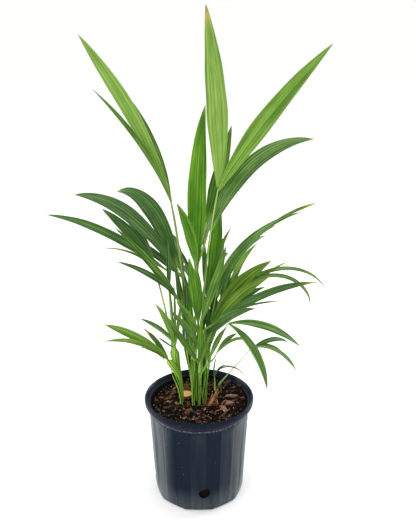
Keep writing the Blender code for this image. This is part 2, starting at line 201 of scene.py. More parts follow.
def grain(tree, vector, scale, detail, stretch=None, **more):
    # Noise, drawn out along its axes where a pattern runs one way
    if stretch:
        vector = addNode(tree, "ShaderNodeMapping", None, {
            "Vector": vector, "Scale": stretch}).outputs["Vector"]
    return addNode(tree, "ShaderNodeTexNoise", None, {
        "Vector": vector, "Scale": scale, "Detail": detail, **more}).outputs["Fac"]


def objectPlace(tree):
    return addNode(tree, "ShaderNodeTexCoord").outputs["Object"]


def attribute(tree, name, output):
    return addNode(tree, "ShaderNodeAttribute", {"attribute_name": name}).outputs[output]


def separated(tree, vector):
    return addNode(tree, "ShaderNodeSeparateXYZ", None, {"Vector": vector}).outputs[:]


def colorAndBump(tree, shader, color, height, strength, depth):
    tree.links.new(color, shader.inputs["Base Color"])
    bump = addNode(tree, "ShaderNodeBump", None, {
        "Strength": strength, "Distance": depth, "Height": height})
    tree.links.new(bump.outputs["Normal"], shader.inputs["Normal"])


def wear(item, *materials):
    # Dress a mesh in these materials and no others
    item.data.materials.clear()
    for material in materials:
        item.data.materials.append(material)


def handIn(name, parts, slot, *nodes):
    # Join the parts, smooth them, and hand them to the frame
    piece = joinPieces(name, parts)
    activate(piece)
    bpy.ops.object.shade_smooth()
    dress(piece, slot, *nodes)
    return piece


# Studio: pale floor, soft light, and the camera at the photograph's angle

studio = dict(
    cameraPlace=(0.021, -1.629, 1.229), cameraDrop=21.4, lens=55.2,
    floorHalf=26.0, floorColor="fafaf9", skyColor="ffffff", skyStrength=1.04)


def buildStudio():
    deselectAll()
    bpy.ops.mesh.primitive_plane_add(size=2 * studio["floorHalf"], location=(0, 0, 0))
    floor = bpy.context.object
    floor.name = "floor"
    material, _, _ = newSurface("matt_white_floor_paint", studio["floorColor"], 0.9)
    floor.data.materials.append(material)

    world = bpy.data.worlds.new("soft_sky")
    world.use_nodes = True
    background = world.node_tree.nodes["Background"]
    background.inputs["Color"].default_value = linearColor(studio["skyColor"])
    background.inputs["Strength"].default_value = studio["skyStrength"]
    bpy.context.scene.world = world

    # name, place, size, power: large boxes far enough off to be soft
    for name, place, size, power in (
            ("key_box", (-1.7, -1.9, 2.7), 1.2, 22),
            ("fill_box", (2.2, -1.6, 1.5), 1.4, 4),
            ("top_box", (0.3, 0.5, 2.9), 1.4, 12),
            ("left_box", (-2.3, 0.7, 0.9), 1.4, 26),
            ("right_box", (2.1, 1.3, 0.9), 1.4, 34)):
        light = bpy.data.lights.new(name, "AREA")
        light.size = size
        light.energy = power
        lamp = bpy.data.objects.new(name, light)
        lamp.location = place
        lamp.rotation_euler = (Vector((0, 0, 0.5)) - Vector(place)).to_track_quat("-Z", "Y").to_euler()
        bpy.context.scene.collection.objects.link(lamp)

    lens = bpy.data.cameras.new("camera")
    lens.sensor_width = 36
    lens.sensor_fit = "AUTO"
    lens.lens = studio["lens"]
    camera = bpy.data.objects.new("camera", lens)
    camera.location = studio["cameraPlace"]
    camera.rotation_euler = (math.radians(90 - studio["cameraDrop"]), 0, 0)
    bpy.context.scene.collection.objects.link(camera)
    bpy.context.scene.camera = camera
    bpy.context.scene.view_settings.view_transform = "Standard"
    print("studio ready")


# Nursery pot: blow-moulded polyethylene, navy black, with painted reflection on its panels and sides

pot = dict(
    height=0.250, rimRadius=0.128, neckRadius=0.1155, neckHeight=0.221,
    footRadius=0.1042, footHeight=0.010, wall=0.0025, floor=0.0035, ledge=0.238,
    ribs=10, ribTurn=-90.5, ribTop=0.218, ribRelief=0.002, raisedHalf=7.0, stepEnd=9.0, footSide=0.1032,
    columns=300, drainRadius=0.0135, drainHeight=0.050, drainBearings=(-83, 7, 97, 187),
    footRing=0.012, footRaise=0.0022, sharpOver=28, paintedShadeTop=0.2405)


def wallRadius(height):
    share = (height - pot["footHeight"]) / (pot["neckHeight"] - pot["footHeight"])
    return pot["footRadius"] + (pot["neckRadius"] - pot["footRadius"]) * share


def boreRadius(height):
    return wallRadius(height) - pot["wall"]


# the wall's marks by height, with the strongest share of each: a band of scuffs 32 to 23 mm under
# the rim's top, a grey film at the foot that is partly dust and partly painted reflection of the floor,
# a paler band under the rim, and what stops short of the rim. By distance from the middle:
# painted sheen on the two sides and painted shade on the front.
potWearAndSheen = dict(
    bandFoot=(0.2180, 0.2220), bandTop=(0.2272, 0.2232), scuff=0.55, speck=0.5,
    footDustAndReflection=(0.075, 0.0, 0.48), underRimPaler=(0.165, 0.222, 0.07), wallOnly=(0.222, 0.212, 0.70),
    panelShare=0.34, sheenMiddle=0.007, paintedSideSheen=(0.058, 0.104), paintedFrontShade=-0.10)


def innerShadedPlastic():
    # The same polyethylene inside, painted nearly black as the shade inside the pot, and quite matt
    material, tree, shader = newSurface("navy_polyethylene_inside_painted_shade", "05080d", 0.62, {
        "IOR": 1.51, "Specular IOR Level": 0.05})
    mottle = grain(tree, objectPlace(tree), 160.0, 4)
    tree.links.new(blend(tree, mottle, "02050a", "14181c"), shader.inputs["Base Color"])
    return material


def potPlastic():
    # Blow-moulded polyethylene: a low waxy gloss, faint flow streaks up the wall, pale
    # scuffs round the neck where pots are stacked, specks of dried mix, and painted reflection
    # and shade on its sides, front and flat panels
    material, tree, shader = newSurface("navy_polyethylene_blow_moulded", "08101c", 0.34, {
        "IOR": 1.51, "Specular IOR Level": 0.02, "Sheen Weight": 0.07, "Sheen Roughness": 0.32,
        "Coat Weight": 0.18, "Coat Roughness": 0.20})
    place = objectPlace(tree)
    across, inDepth, height = separated(tree, place)
    streaks = grain(tree, place, 1.0, 3, (90, 90, 6))
    band = reckon(tree, "MULTIPLY", spread(tree, height, *potWearAndSheen["bandFoot"]),
                  spread(tree, height, *potWearAndSheen["bandTop"]))
    worn = spread(tree, grain(tree, place, 420.0, 4), 0.50, 0.62, potWearAndSheen["scuff"], kind="LINEAR")
    specks = addNode(tree, "ShaderNodeTexVoronoi", {"feature": "F1"}, {
        "Vector": place, "Scale": 55.0, "Randomness": 1.0})
    speckMask = spread(tree, specks.outputs["Distance"], 0.055, 0.035, potWearAndSheen["speck"],
                       kind="LINEAR")
    pale = reckon(tree, "MAXIMUM", reckon(tree, "MULTIPLY", band, worn), speckMask)
    # paler towards the foot, partly a grey film of dust and partly painted reflection of the pale
    # floor, and a thinner paler band up under the rim
    footAndRimPaler = reckon(tree, "ADD", spread(tree, height, *potWearAndSheen["footDustAndReflection"]),
                   spread(tree, height, *potWearAndSheen["underRimPaler"]))
    # painted reflection: each flat panel of the wall is painted its own paler or darker tone, as each
    # facet catches the light in its own way
    halfPitch = math.pi / pot["ribs"]
    counted = reckon(tree, "MULTIPLY_ADD", reckon(tree, "ARCTAN2", inDepth, across),
                     1 / halfPitch, 0.5 - math.radians(pot["ribTurn"]) / halfPitch)
    dealt = addNode(tree, "ShaderNodeTexWhiteNoise", {"noise_dimensions": "1D"}, {
        "W": reckon(tree, "FLOOR", counted)}).outputs["Value"]
    wallOnly = spread(tree, height, *potWearAndSheen["wallOnly"])
    paintedFacetsAndFilm = reckon(tree, "MULTIPLY_ADD", reckon(tree, "MULTIPLY", dealt, wallOnly),
                       potWearAndSheen["panelShare"], footAndRimPaler)
    # painted sheen and shade: the two sides of the wall are painted paler as if they catch the light,
    # one more than the other, and the front is painted a little darker
    aside = reckon(tree, "ABSOLUTE", reckon(tree, "SUBTRACT", across, potWearAndSheen["sheenMiddle"]))
    paintedSideSheen = spread(tree, aside, *potWearAndSheen["paintedSideSheen"], wallOnly, potWearAndSheen["paintedFrontShade"])
    # the wall's tone: painted reflection and shade on the panels, sides and foot, with dust at the foot
    filmAndPaintedSheen = reckon(tree, "MULTIPLY", reckon(tree, "ADD", paintedFacetsAndFilm, paintedSideSheen), streaks)
    body = blend(tree, filmAndPaintedSheen, blend(tree, streaks, "020a16", "081a2e"), "7c8386")
    rough = spread(tree, streaks, 0.3, 0.7, 0.50, 0.34, kind="LINEAR")
    tree.links.new(rough, shader.inputs["Roughness"])
    colorAndBump(tree, shader, blend(tree, pale, body, "b9bcc0"), streaks, 0.12, 0.0006)
    return material


def ribOffset(bearing, height, radius):
    # How far the wall stands off its plain radius: flat raised ribs between flat sunk panels
    pitch = 360 / pot["ribs"]
    turn = (bearing - pot["ribTurn"] + pitch / 2) % pitch - pitch / 2
    away = abs(turn)
    sunkHalf = pitch / 2 - pot["stepEnd"]
    raised = (radius + pot["ribRelief"]) * (
        0.5 + 0.5 * math.cos(math.radians(pot["raisedHalf"])) / math.cos(math.radians(away)))
    sunk = radius * math.cos(math.radians(sunkHalf)) / math.cos(math.radians(pitch / 2 - away))
    step = smoothStep(pot["raisedHalf"], pot["stepEnd"], away)
    ends = smoothStep(0.011, 0.030, height) * (1 - smoothStep(0.207, 0.216, height))
    # the foot is a decagon, each side under a raised rib
    side = (pot["footSide"] / math.cos(math.radians(away)) - pot["footRadius"]) * 0.6
    foot = 1 - smoothStep(0.004, 0.034, height)
    return (raised * (1 - step) + sunk * step - radius) * ends + side * foot


def potRings():
    # The wall's radius and height up the outside, over the rim and down the inside
    foot, neck, rim = pot["footRadius"], pot["neckRadius"], pot["rimRadius"]
    top, ledge = pot["height"], pot["ledge"]
    outside = [(foot - 0.005, 0.0), (foot - 0.0028, 0.0008), (foot - 0.001, 0.0035),
               (foot, pot["footHeight"])]
    outside += [(wallRadius(z), z) for z in (0.012, 0.015, 0.018, 0.03, 0.05, 0.07, 0.09, 0.11,
                                             0.13, 0.15, 0.17, 0.19, 0.203, 0.208, 0.212, 0.216)]
    overRim = [(neck, 0.221), (neck + 0.0006, 0.2232), (neck + 0.0022, 0.2248),
               (neck + 0.0045, 0.2266), (rim - 0.0060, 0.2295), (rim - 0.0028, 0.2330),
               (rim - 0.0010, 0.2365), (rim - 0.0002, 0.2415), (rim - 0.0002, 0.2455),
               (rim - 0.0012, 0.2484), (rim - 0.0030, 0.2498), (rim - 0.0048, top - 0.0003),
               (rim - 0.0064, 0.2478), (rim - 0.0076, 0.2440), (rim - 0.0086, 0.2408),
               (rim - 0.0098, ledge + 0.0014), (boreRadius(ledge) + 0.0010, ledge + 0.0004)]
    inside = [(boreRadius(z), z) for z in (0.2365, 0.230, 0.20, 0.15, 0.10, 0.05, 0.012)]
    inside += [(boreRadius(0) - 0.002, pot["floor"] + 0.0004)]
    return outside + overRim + inside


def raiseRibs(shell):
    for vertex in shell.data.vertices:
        radius, height = math.hypot(vertex.co.x, vertex.co.y), vertex.co.z
        midWall = boreRadius(height) + pot["wall"] / 2
        if height < pot["ribTop"] and radius > min(midWall, pot["footRadius"] - 0.008):
            offset = ribOffset(math.degrees(math.atan2(vertex.co.y, vertex.co.x)), height, radius)
            vertex.co.x *= 1 + offset / radius
            vertex.co.y *= 1 + offset / radius


def drillDrains(shell):
    for bearing in pot["drainBearings"]:
        turn = math.radians(bearing)
        reach = wallRadius(pot["drainHeight"])
        deselectAll()
        bpy.ops.mesh.primitive_cylinder_add(
            vertices=48, radius=pot["drainRadius"], depth=0.02,
            location=(reach * math.cos(turn), reach * math.sin(turn), pot["drainHeight"]),
            rotation=(0, math.pi / 2, turn))
        cutter = bpy.context.object
        applyModifier(shell, "BOOLEAN", operation="DIFFERENCE", object=cutter)
        bpy.data.objects.remove(cutter)


def buildPot():
    deselectAll()
    rings = potRings()
    bpy.ops.mesh.primitive_circle_add(vertices=pot["columns"], radius=rings[0][0],
                                      location=(0, 0, rings[0][1]), fill_type="NGON")
    shell = bpy.context.object
    shell.name = "nursery_pot"
    editMode()
    pickAll()
    bpy.ops.mesh.flip_normals()
    bpy.ops.mesh.inset(thickness=pot["footRing"], depth=0)   # a raised middle under the foot
    bpy.ops.transform.translate(value=(0, 0, pot["footRaise"]))
    bpy.ops.mesh.select_all(action="DESELECT")
    objectMode()
    for edge in shell.data.edges:
        edge.select = all(math.hypot(*shell.data.vertices[i].co[:2]) > rings[0][0] - 1e-4
                          for i in edge.vertices)
    editMode()
    bpy.ops.mesh.select_mode(type="EDGE")
    riseThrough(rings)
    bpy.ops.mesh.edge_face_add()                          # the inner floor
    pickAll()
    bpy.ops.mesh.normals_make_consistent(inside=False)
    objectMode()
    raiseRibs(shell)
    drillDrains(shell)
    wear(shell, potPlastic(), innerShadedPlastic())
    # faces on the inside of the wall take the nearly black plastic: painted shade
    for polygon in shell.data.polygons:
        middle, facing = polygon.center, polygon.normal
        inwards = -(middle.x * facing.x + middle.y * facing.y) / math.hypot(middle.x, middle.y, 1e-6)
        inPaintedShade = inwards > 0.3 and pot["floor"] + 0.0005 < middle.z < pot["paintedShadeTop"]
        polygon.material_index = 1 if inPaintedShade else 0
    smoothBelow(shell, pot["sharpOver"])
    dress(shell, "pot_plastic", "pot")
    print("pot ready:", len(shell.data.polygons), "faces")


# Potting mix: dark peaty mix with bark chips, crumbs, perlite and a few roots

mix = dict(
    level=0.2288, edge=0.110, edgeRise=0.0040, rightRise=0.0050, lumps=0.00154, rings=26,
    columns=120, foot=0.0042, footGap=0.0026, wallGap=0.0006, chips=330, chipReach=0.106,
    crumbs=2600, perlite=60, crumbReach=0.1085, beadSize=2.4, chipKinds=4, crumbKinds=3,
    chipTones=[0, 0, 0, 0, 0, 1, 2, 3], crumbTones=[0, 0, 0, 0, 0, 0, 1, 2, 3], perliteTone=4,
    beadTone=5, thickRoots=4, beads=((-35, -20), (-87, 60), (101, 36), (-70, 40), (60, 20), (-12, -60)))


def mixHeight(x, y):
    edge = mix["edge"]
    share = min(1.0, math.hypot(x, y) / edge)
    lump = noise.noise(Vector((x * 55, y * 55, 3.1))) + 0.5 * noise.noise(Vector((x * 130, y * 130, 7)))
    return (mix["level"] + mix["edgeRise"] * share ** 3 + mix["rightRise"] * share ** 2 * x / edge
            + mix["lumps"] * lump)


def mixSurface(name, hexLow, hexHigh, scale, bumpDepth):
    # Crumbly or fibrous plant stuff and grains with no gloss: a random tone from the same noise as its
    # bumps, so its hollows are darkest, painted shade
    material, tree, shader = newSurface(name, hexLow, 0.92, {"Specular IOR Level": 0.06})
    lumps = grain(tree, objectPlace(tree), scale, 6, Roughness=0.65)
    # one noise for colour and bumps: random tone, and painted shade in the low places
    contrast = spread(tree, lumps, 0.35, 0.68, kind="LINEAR")
    colorAndBump(tree, shader, blend(tree, contrast, hexLow, hexHigh), lumps, 0.8, bumpDepth)
    return material


def meshFromArrays(name, places, faces, materialIndex, materials):
    mesh = bpy.data.meshes.new(name)
    mesh.from_pydata(places.tolist(), [], faces.tolist())
    for material in materials:
        mesh.materials.append(material)
    mesh.polygons.foreach_set("material_index", materialIndex)
    mesh.validate()
    made = bpy.data.objects.new(name, mesh)
    bpy.context.scene.collection.objects.link(made)
    return made


def trianglesOf(item):
    mesh = item.data
    mesh.calc_loop_triangles()
    corners = np.empty(len(mesh.loop_triangles) * 3, dtype=np.int64)
    mesh.loop_triangles.foreach_get("vertices", corners)
    return readPlaces(mesh), corners.reshape(-1, 3)


def scatter(name, masters, draws, materials):
    # Many copies of a few master shapes as one mesh. A draw is (master, size, turn matrix,
    # place, material).
    placesAll, facesAll, indexAll, count = [], [], [], 0
    for kind, size, matrix, place, tone in draws:
        places, faces = masters[kind]
        placesAll.append((places * size) @ matrix.T + place)
        facesAll.append(faces + count)
        indexAll.append(np.full(len(faces), tone))
        count += len(places)
    return meshFromArrays(name, np.vstack(placesAll), np.vstack(facesAll),
                          np.concatenate(indexAll), materials)


def turnMatrix(yaw, pitch, roll):
    cy, sy, cp, sp, cr, sr = (math.cos(yaw), math.sin(yaw), math.cos(pitch), math.sin(pitch),
                              math.cos(roll), math.sin(roll))
    return (np.array([[cy, -sy, 0], [sy, cy, 0], [0, 0, 1]])
            @ np.array([[cp, 0, sp], [0, 1, 0], [-sp, 0, cp]])
            @ np.array([[1, 0, 0], [0, cr, -sr], [0, sr, cr]]))


def chipMasters():
    # Splinters of bark: a cube cut along its length, pinched at its ends and roughened
    masters = []
    for _ in range(mix["chipKinds"]):
        deselectAll()
        bpy.ops.mesh.primitive_cube_add(size=1)
        chip = bpy.context.object
        editMode()
        pickAll()
        for cut in (-0.30, -0.05, 0.22):
            pickAll()
            bpy.ops.mesh.bisect(plane_co=(cut, 0, 0), plane_no=(1, 0, 0))
        pickAll()
        bpy.ops.mesh.bisect(plane_co=(0, 0.1, 0), plane_no=(0, 1, 0))
        objectMode()
        places = readPlaces(chip.data)
        ends = 1 - 0.55 * smoothStep(0.25, 0.5, np.abs(places[:, 0]))
        places[:, 1] *= ends
        places[:, 2] *= 0.6 + 0.4 * ends
        places += chance.uniform(-0.07, 0.07, places.shape)
        writePlaces(chip.data, places)
        masters.append(trianglesOf(chip))
        bpy.data.objects.remove(chip)
    return masters


def crumbMaster():
    deselectAll()
    bpy.ops.mesh.primitive_ico_sphere_add(subdivisions=1, radius=0.5)
    crumb = bpy.context.object
    places = readPlaces(crumb.data)
    places *= chance.uniform(0.75, 1.15, (len(places), 1))
    writePlaces(crumb.data, places)
    master = trianglesOf(crumb)
    bpy.data.objects.remove(crumb)
    return master


def fillPot():
    deselectAll()
    edgeTop = mix["level"] + mix["edgeRise"]
    edge = boreRadius(edgeTop) - mix["wallGap"]
    radius, height = boreRadius(0) - mix["footGap"], mix["foot"]
    bpy.ops.mesh.primitive_circle_add(vertices=mix["columns"], radius=radius,
                                      location=(0, 0, height), fill_type="NGON")
    plug = bpy.context.object
    plug.name = "bark_mix"
    applyPlace()
    rings = [(radius, height)]
    rings += [(boreRadius(z) - mix["wallGap"], z) for z in (0.012, 0.120, 0.215, edgeTop)]
    editMode()
    pickAll()
    bpy.ops.mesh.select_mode(type="FACE")
    bpy.ops.mesh.extrude_region_move(TRANSFORM_OT_translate={"value": (0, 0, 0.0001)})
    riseThrough(rings)
    step = edge / (mix["rings"] + 1.5)
    for _ in range(mix["rings"]):
        bpy.ops.mesh.inset(thickness=step * math.cos(math.pi / mix["columns"]), depth=0)
    pickAll()
    bpy.ops.mesh.normals_make_consistent(inside=False)
    objectMode()
    for vertex in plug.data.vertices:
        if vertex.co.z > edgeTop - 0.003:
            vertex.co.z = mixHeight(vertex.co.x, vertex.co.y)
    for polygon in plug.data.polygons:
        polygon.use_smooth = True
    wear(plug, mixSurface("damp_composted_bark", "040302", "18120e", 260, 0.0016))
    dress(plug, "potting_mix", "potting_mix")
    return plug


# bark chips that show in the photograph: place, length, width, turn, tone
namedChips = [
    ((74, -6), 30, 12, 41, 3), ((78, 22), 30, 10, 9, 3), ((32, -7), 17, 12, -18, 1),
    ((68, 80), 20, 10, 30, 2), ((58, -34), 24, 12, -68, 3), ((-62, 44), 20, 9, 70, 1),
    ((-73, 20), 24, 8, 35, 1), ((-76, -24), 18, 9, -7, 2), ((-52, -19), 17, 6, -8, 2),
    ((-26, -42), 23, 10, 67, 1), ((-1, -38), 10, 7, 21, 2), ((16, -12), 19, 8, 22, 2),
    ((100, 62), 18, 9, -16, 2), ((48, 68), 20, 7, 49, 1), ((-90, 22), 12, 6, -22, 1),
    ((80, 44), 12, 6, 32, 2), ((30, -46), 9, 6, -14, 1), ((-14, -38), 8, 5, -8, 2)]

# thin roots that run over the mix: plan points from one end to the other
surfaceRoots = [
    [(31, 27), (33, 8), (38, -2), (47, -7)], [(47, -16), (53, -32), (49, -43), (36, -47)],
    [(53, -12), (61, -3), (71, -2)], [(37, 13), (41, 4), (45, -10)],
    [(-20, -30), (-30, -34), (-38, -30)], [(-60, 8), (-70, 2), (-82, 4)],
    [(10, -60), (24, -66), (30, -76)], [(62, -48), (70, -40), (72, -30)],
    [(-40, 60), (-52, 70), (-50, 82)], [(20, 70), (34, 78), (40, 90)]]


def strewnPlace(reach):
    radius = reach * math.sqrt(chance.uniform())
    turn = chance.uniform(0, 2 * math.pi)
    return radius * math.cos(turn), radius * math.sin(turn)


def strewChips(masters, tones):
    # First those that show in the photograph, then the rest at random
    draws = []
    for (x, y), length, width, turn, tone in namedChips:
        x, y = x * mm, y * mm
        lift = width * 0.16 * mm
        draws.append((int(chance.integers(mix["chipKinds"])),
                      np.array([length, width, width * 0.42]) * mm,
                      turnMatrix(math.radians(turn), chance.uniform(-0.16, 0.16),
                                 chance.uniform(-0.35, 0.35)),
                      np.array([x, y, mixHeight(x, y) + lift]), tone))
    for _ in range(mix["chips"]):
        x, y = strewnPlace(mix["chipReach"])
        length = chance.uniform(5, 14) * mm
        width = length * chance.uniform(0.32, 0.62)
        draws.append((int(chance.integers(mix["chipKinds"])),
                      np.array([length, width, width * 0.45]),
                      turnMatrix(chance.uniform(0, 6.3), chance.uniform(-0.5, 0.5),
                                 chance.uniform(-0.7, 0.7)),
                      np.array([x, y, mixHeight(x, y) + width * chance.uniform(-0.1, 0.2)]),
                      int(chance.choice(mix["chipTones"]))))
    return scatter("pine_bark_chips", masters, draws, tones)


def strewCrumbs(masters, tones):
    draws = []
    for index in range(mix["crumbs"] + mix["perlite"]):
        isPerlite = index >= mix["crumbs"]
        x, y = strewnPlace(mix["crumbReach"])
        size = chance.uniform(1.2, 2.8 if isPerlite else 4.2) * mm
        tone = mix["perliteTone"] if isPerlite else int(chance.choice(mix["crumbTones"]))
        kind = mix["chipKinds"] + int(chance.integers(mix["crumbKinds"]))
        draws.append((kind, size * chance.uniform(0.6, 1.2, 3),
                      turnMatrix(*chance.uniform(0, 6.3, 3)),
                      np.array([x, y, mixHeight(x, y) + size * 0.2]), tone))
    for x, y in mix["beads"]:
        x, y = x * mm, y * mm
        draws.append((mix["chipKinds"], np.full(3, mix["beadSize"] * mm), turnMatrix(0, 0, 0),
                      np.array([x, y, mixHeight(x, y) + 1.6 * mm]), mix["beadTone"]))
    return scatter("mix_crumbs", masters, draws, tones)


def layRoots():
    # The first few are thicker, and arch a little off the mix
    skin = mixSurface("dry_palm_root", "7e4e2a", "bd8450", 400, 0.0002)
    roots = []
    for index, path in enumerate(surfaceRoots):
        isThick = index < mix["thickRoots"]
        plan = np.array(path, dtype=float) * mm
        shares = np.linspace(0, 1, 21)
        ends = np.linspace(0, 1, len(plan))
        x = np.interp(shares, ends, plan[:, 0])
        y = np.interp(shares, ends, plan[:, 1])
        for _ in range(3):
            x[1:-1] = (x[:-2] + x[1:-1] * 2 + x[2:]) / 4
            y[1:-1] = (y[:-2] + y[1:-1] * 2 + y[2:]) / 4
        z = np.array([mixHeight(a, b) for a, b in zip(x, y)])
        z += 0.0024 + 0.004 * np.sin(math.pi * shares) * isThick - 0.004 * (
            smoothStep(0.12, 0, shares) + smoothStep(0.88, 1, shares))
        thick = (1.5 if isThick else 0.8) * mm
        root = copyOf(tubeMasters["fine"], "root")
        sweepTube(root, shares, np.column_stack([x, y, z]), thick * (1 - 0.45 * shares))
        root.data.materials.append(skin)
        roots.append(root)
    handIn("surface_roots", roots, "potting_mix", "potting_mix")


def strewMix():
    tones = [mixSurface("dark_bark_crumbs", "060504", "1e1814", 300, 0.0008),
             mixSurface("red_brown_pine_bark", "38231a", "76503a", 210, 0.0006),
             mixSurface("brown_pine_bark", "241a14", "5e4a3a", 210, 0.0006),
             mixSurface("weathered_pine_bark", "5a4536", "a58670", 190, 0.0006),
             mixSurface("crushed_perlite", "b9b4a8", "e9e5dc", 240, 0.0004),
             mixSurface("slow_feed_beads", "1f6b4c", "2f8a62", 120, 0.0002)]
    masters = chipMasters() + [crumbMaster() for _ in range(mix["crumbKinds"])]
    chips = strewChips(masters, tones)
    crumbs = strewCrumbs(masters, tones)
    for piece in (chips, crumbs):
        dress(piece, "potting_mix", "potting_mix")
    layRoots()
    print("mix ready:", len(chips.data.polygons), "chip faces,", len(crumbs.data.polygons),
          "crumb faces")


# Master tubes and blades. Each is modelled once, then copied and bent.

tubeMasters = {}
bladeMasters = {}


def buildTubeMaster(name, columns, rows):
    # An upright unit tube with closed ends, cut across into rows
    deselectAll()
    bpy.ops.mesh.primitive_cylinder_add(vertices=columns, radius=1, depth=1, location=(0, 0, 0.5),
                                        end_fill_type="TRIFAN")
    master = bpy.context.object
    applyPlace()
    editMode()
    for row in range(1, rows):
        pickAll()
        bpy.ops.mesh.bisect(plane_co=(0, 0, row / rows), plane_no=(0, 0, 1))
    objectMode()
    master.name = name
    tubeMasters[name] = master


def buildBladeMaster(name, columns, rows):
    # A flat strip two units wide and two long, cut into columns for the pleats
    deselectAll()
    bpy.ops.mesh.primitive_grid_add(x_subdivisions=columns, y_subdivisions=rows, size=2)
    master = bpy.context.object
    master.name = name
    bladeMasters[name] = master


def dropMasters():
    for master in list(tubeMasters.values()) + list(bladeMasters.values()):
        bpy.data.objects.remove(master)


def keepRest(mesh, rest, dry=None, pleat=None):
    # Where each point lies on its own unbent tube or blade, how far it has dried, and on a
    # blade how many pleats it lies from the midrib
    mesh.attributes.new("rest", "FLOAT_VECTOR", "POINT").data.foreach_set(
        "vector", np.ascontiguousarray(rest, dtype=float).ravel())
    dry = np.zeros(len(rest)) if dry is None else dry
    pleat = np.zeros(len(rest)) if pleat is None else pleat
    for name, values in (("dry", dry), ("pleat", pleat)):
        mesh.attributes.new(name, "FLOAT", "POINT").data.foreach_set(
            "value", np.ascontiguousarray(values, dtype=float))


def sweepTube(tube, shares, centres, radii, flatten=None, flat=None, dry=None, ridges=None):
    # Bend a copy of a master tube along a path of points, turned as little as possible
    along = np.gradient(centres, axis=0)
    along /= np.linalg.norm(along, axis=1)[:, None]
    across = np.cross(along, [0.31, 0.95, 0.05])
    across /= np.linalg.norm(across, axis=1)[:, None]
    beside = np.cross(along, across)
    places = readPlaces(tube.data)
    share = np.clip(places[:, 2], 0, 1)
    bent, first, second = [
        np.column_stack([np.interp(share, shares, path[:, i]) for i in range(3)])
        for path in (centres, across, beside)]
    radius = np.interp(share, shares, radii)
    angle = np.arctan2(places[:, 1], places[:, 0])
    length = np.linalg.norm(np.diff(centres, axis=0), axis=1).sum()
    middle = float(np.mean(radii))
    keepRest(tube.data, np.column_stack([
        places[:, 0] * middle, share * length, places[:, 1] * middle + chance.uniform(0, 9)]),
        None if dry is None else np.interp(share, shares, dry),
        None if ridges is None else ridges(angle))
    if flatten is not None:
        radius = radius * flatten(share, angle)
    thin = 1 if flat is None else np.interp(share, shares, flat)
    bent += first * (places[:, 0] * radius)[:, None]
    bent += second * (places[:, 1] * radius * thin)[:, None]
    writePlaces(tube.data, bent)


def toBearing(bearing):
    return np.array([math.cos(math.radians(bearing)), math.sin(math.radians(bearing)), 0.0])


def arcAt(start, bearing, rise, fall, length, share, late=1.0):
    # Point, direction, level sideways and upper normal at each share of an arc that leaves at
    # one rise and has lost the fall by its end, most of it late in its length
    share = np.atleast_1d(share)
    knots = np.linspace(0, 1, 97)
    slope = np.radians(rise - fall * ((knots[1:] + knots[:-1]) / 2) ** late)
    step = length / (len(knots) - 1)
    reach = np.concatenate([[0], np.cumsum(np.cos(slope))]) * step
    climb = np.concatenate([[0], np.cumsum(np.sin(slope))]) * step
    outwards, upwards = toBearing(bearing), np.array([0, 0, 1.0])
    point = start + np.outer(np.interp(share, knots, reach), outwards) + np.outer(
        np.interp(share, knots, climb), upwards)
    angle = np.radians(rise - fall * share ** late)
    along = np.outer(np.cos(angle), outwards) + np.outer(np.sin(angle), upwards)
    sideways = np.repeat(toBearing(bearing + 90)[None], len(share), axis=0)
    return point, along, sideways, np.cross(along, sideways)


# Shoots: slim upright stems wrapped in overlapping leaf sheaths

shootLook = dict(
    flutes=5, fanFlutes=9, fluteDepth=0.13, flatTop=0.50, strands=7, mixLevel=0.2293, buried=0.006,
    coreWidth=0.40, ring=0.4, slim=0.24, sheath=0.38, widest=0.74, opening=1.6)


def shootRow(foot, top, height, footRadius, topRadius, tones, **more):
    return dict(foot=foot, top=top, height=height, footRadius=footRadius, topRadius=topRadius,
                tones=tones, **more)


# foot and top on plan, height and radii are the solid's, but for the tall left shoot's foot,
# which stands a little clear of the stub; tones are those of the sheaths
shoots = {
    "shoot_far_left": shootRow((-41, -7), (-69, -15), 0.348, 2.8, 6.5, ("lime",),
        sheath=1.35, widest=0.92, mouth=6.0, spent=0),
    "shoot_left": shootRow((-39, 7), (-55, 4), 0.369, 3.2, 7.5, ("lime", "young", "lime"),
        sheath=1.1, widest=0.90, mouth=4.0, spent=0),
    "shoot_left_tall": shootRow((-14, 5), (-31, 3), 0.433, 3.6, 8.5, ("young", "sheath", "deep")),
    "shoot_front": shootRow((-13, -13), (-12, -14), 0.366, 3.4, 7.5, ("young", "young")),
    "shoot_front_low": shootRow((0, -9), (4, -26), 0.341, 3.0, 5.5, ("sheath", "deep")),
    "shoot_middle": shootRow((-4, 8), (4, 6), 0.401, 3.8, 8.0, ("deep", "deep", "sheath")),
    "shoot_right": shootRow((15, 9), (21, -2), 0.385, 3.6, 7.5, ("young", "deep", "sheath", "young")),
    "shoot_right_low": shootRow((11, -7), (22, -24), 0.351, 3.0, 6.5, ("young", "sheath", "young")),
    "shoot_far_right": shootRow((52, 42), (54, 44), 0.262, 3.0, 3.6, ("sheath",)),
    "shoot_wisp": shootRow((38, 28), (37, 30), 0.258, 2.2, 2.5, ("sheath",)),
    "shoot_back": shootRow((-10, 27), (-10, 34), 0.36, 4.2, 7.0, ("deep", "deep", "sheath")),
    "shoot_back_right": shootRow((14, 26), (22, 34), 0.34, 3.8, 6.5, ("deep", "sheath", "deep")),
}


def shift(hexColor, factor):
    # The same colour, darker or lighter
    return hexOf(level * factor for level in levelsOf(hexColor))


def paintedPleatShading(tree, living, uneven, furrow, crest):
    # Painted shade as a dark line in each furrow between pleats, and a painted highlight as a light one
    # on some of the crests
    turned = reckon(tree, "MULTIPLY", attribute(tree, "pleat", "Fac"), 2 * math.pi)
    wave = reckon(tree, "COSINE", turned)
    for edge, full, (most, hexLine) in ((-0.35, -0.9, furrow), (0.55, 0.95, crest)):
        line = spread(tree, wave, edge, full, most)
        living = blend(tree, reckon(tree, "MULTIPLY", line, uneven), living, hexLine)
    return living


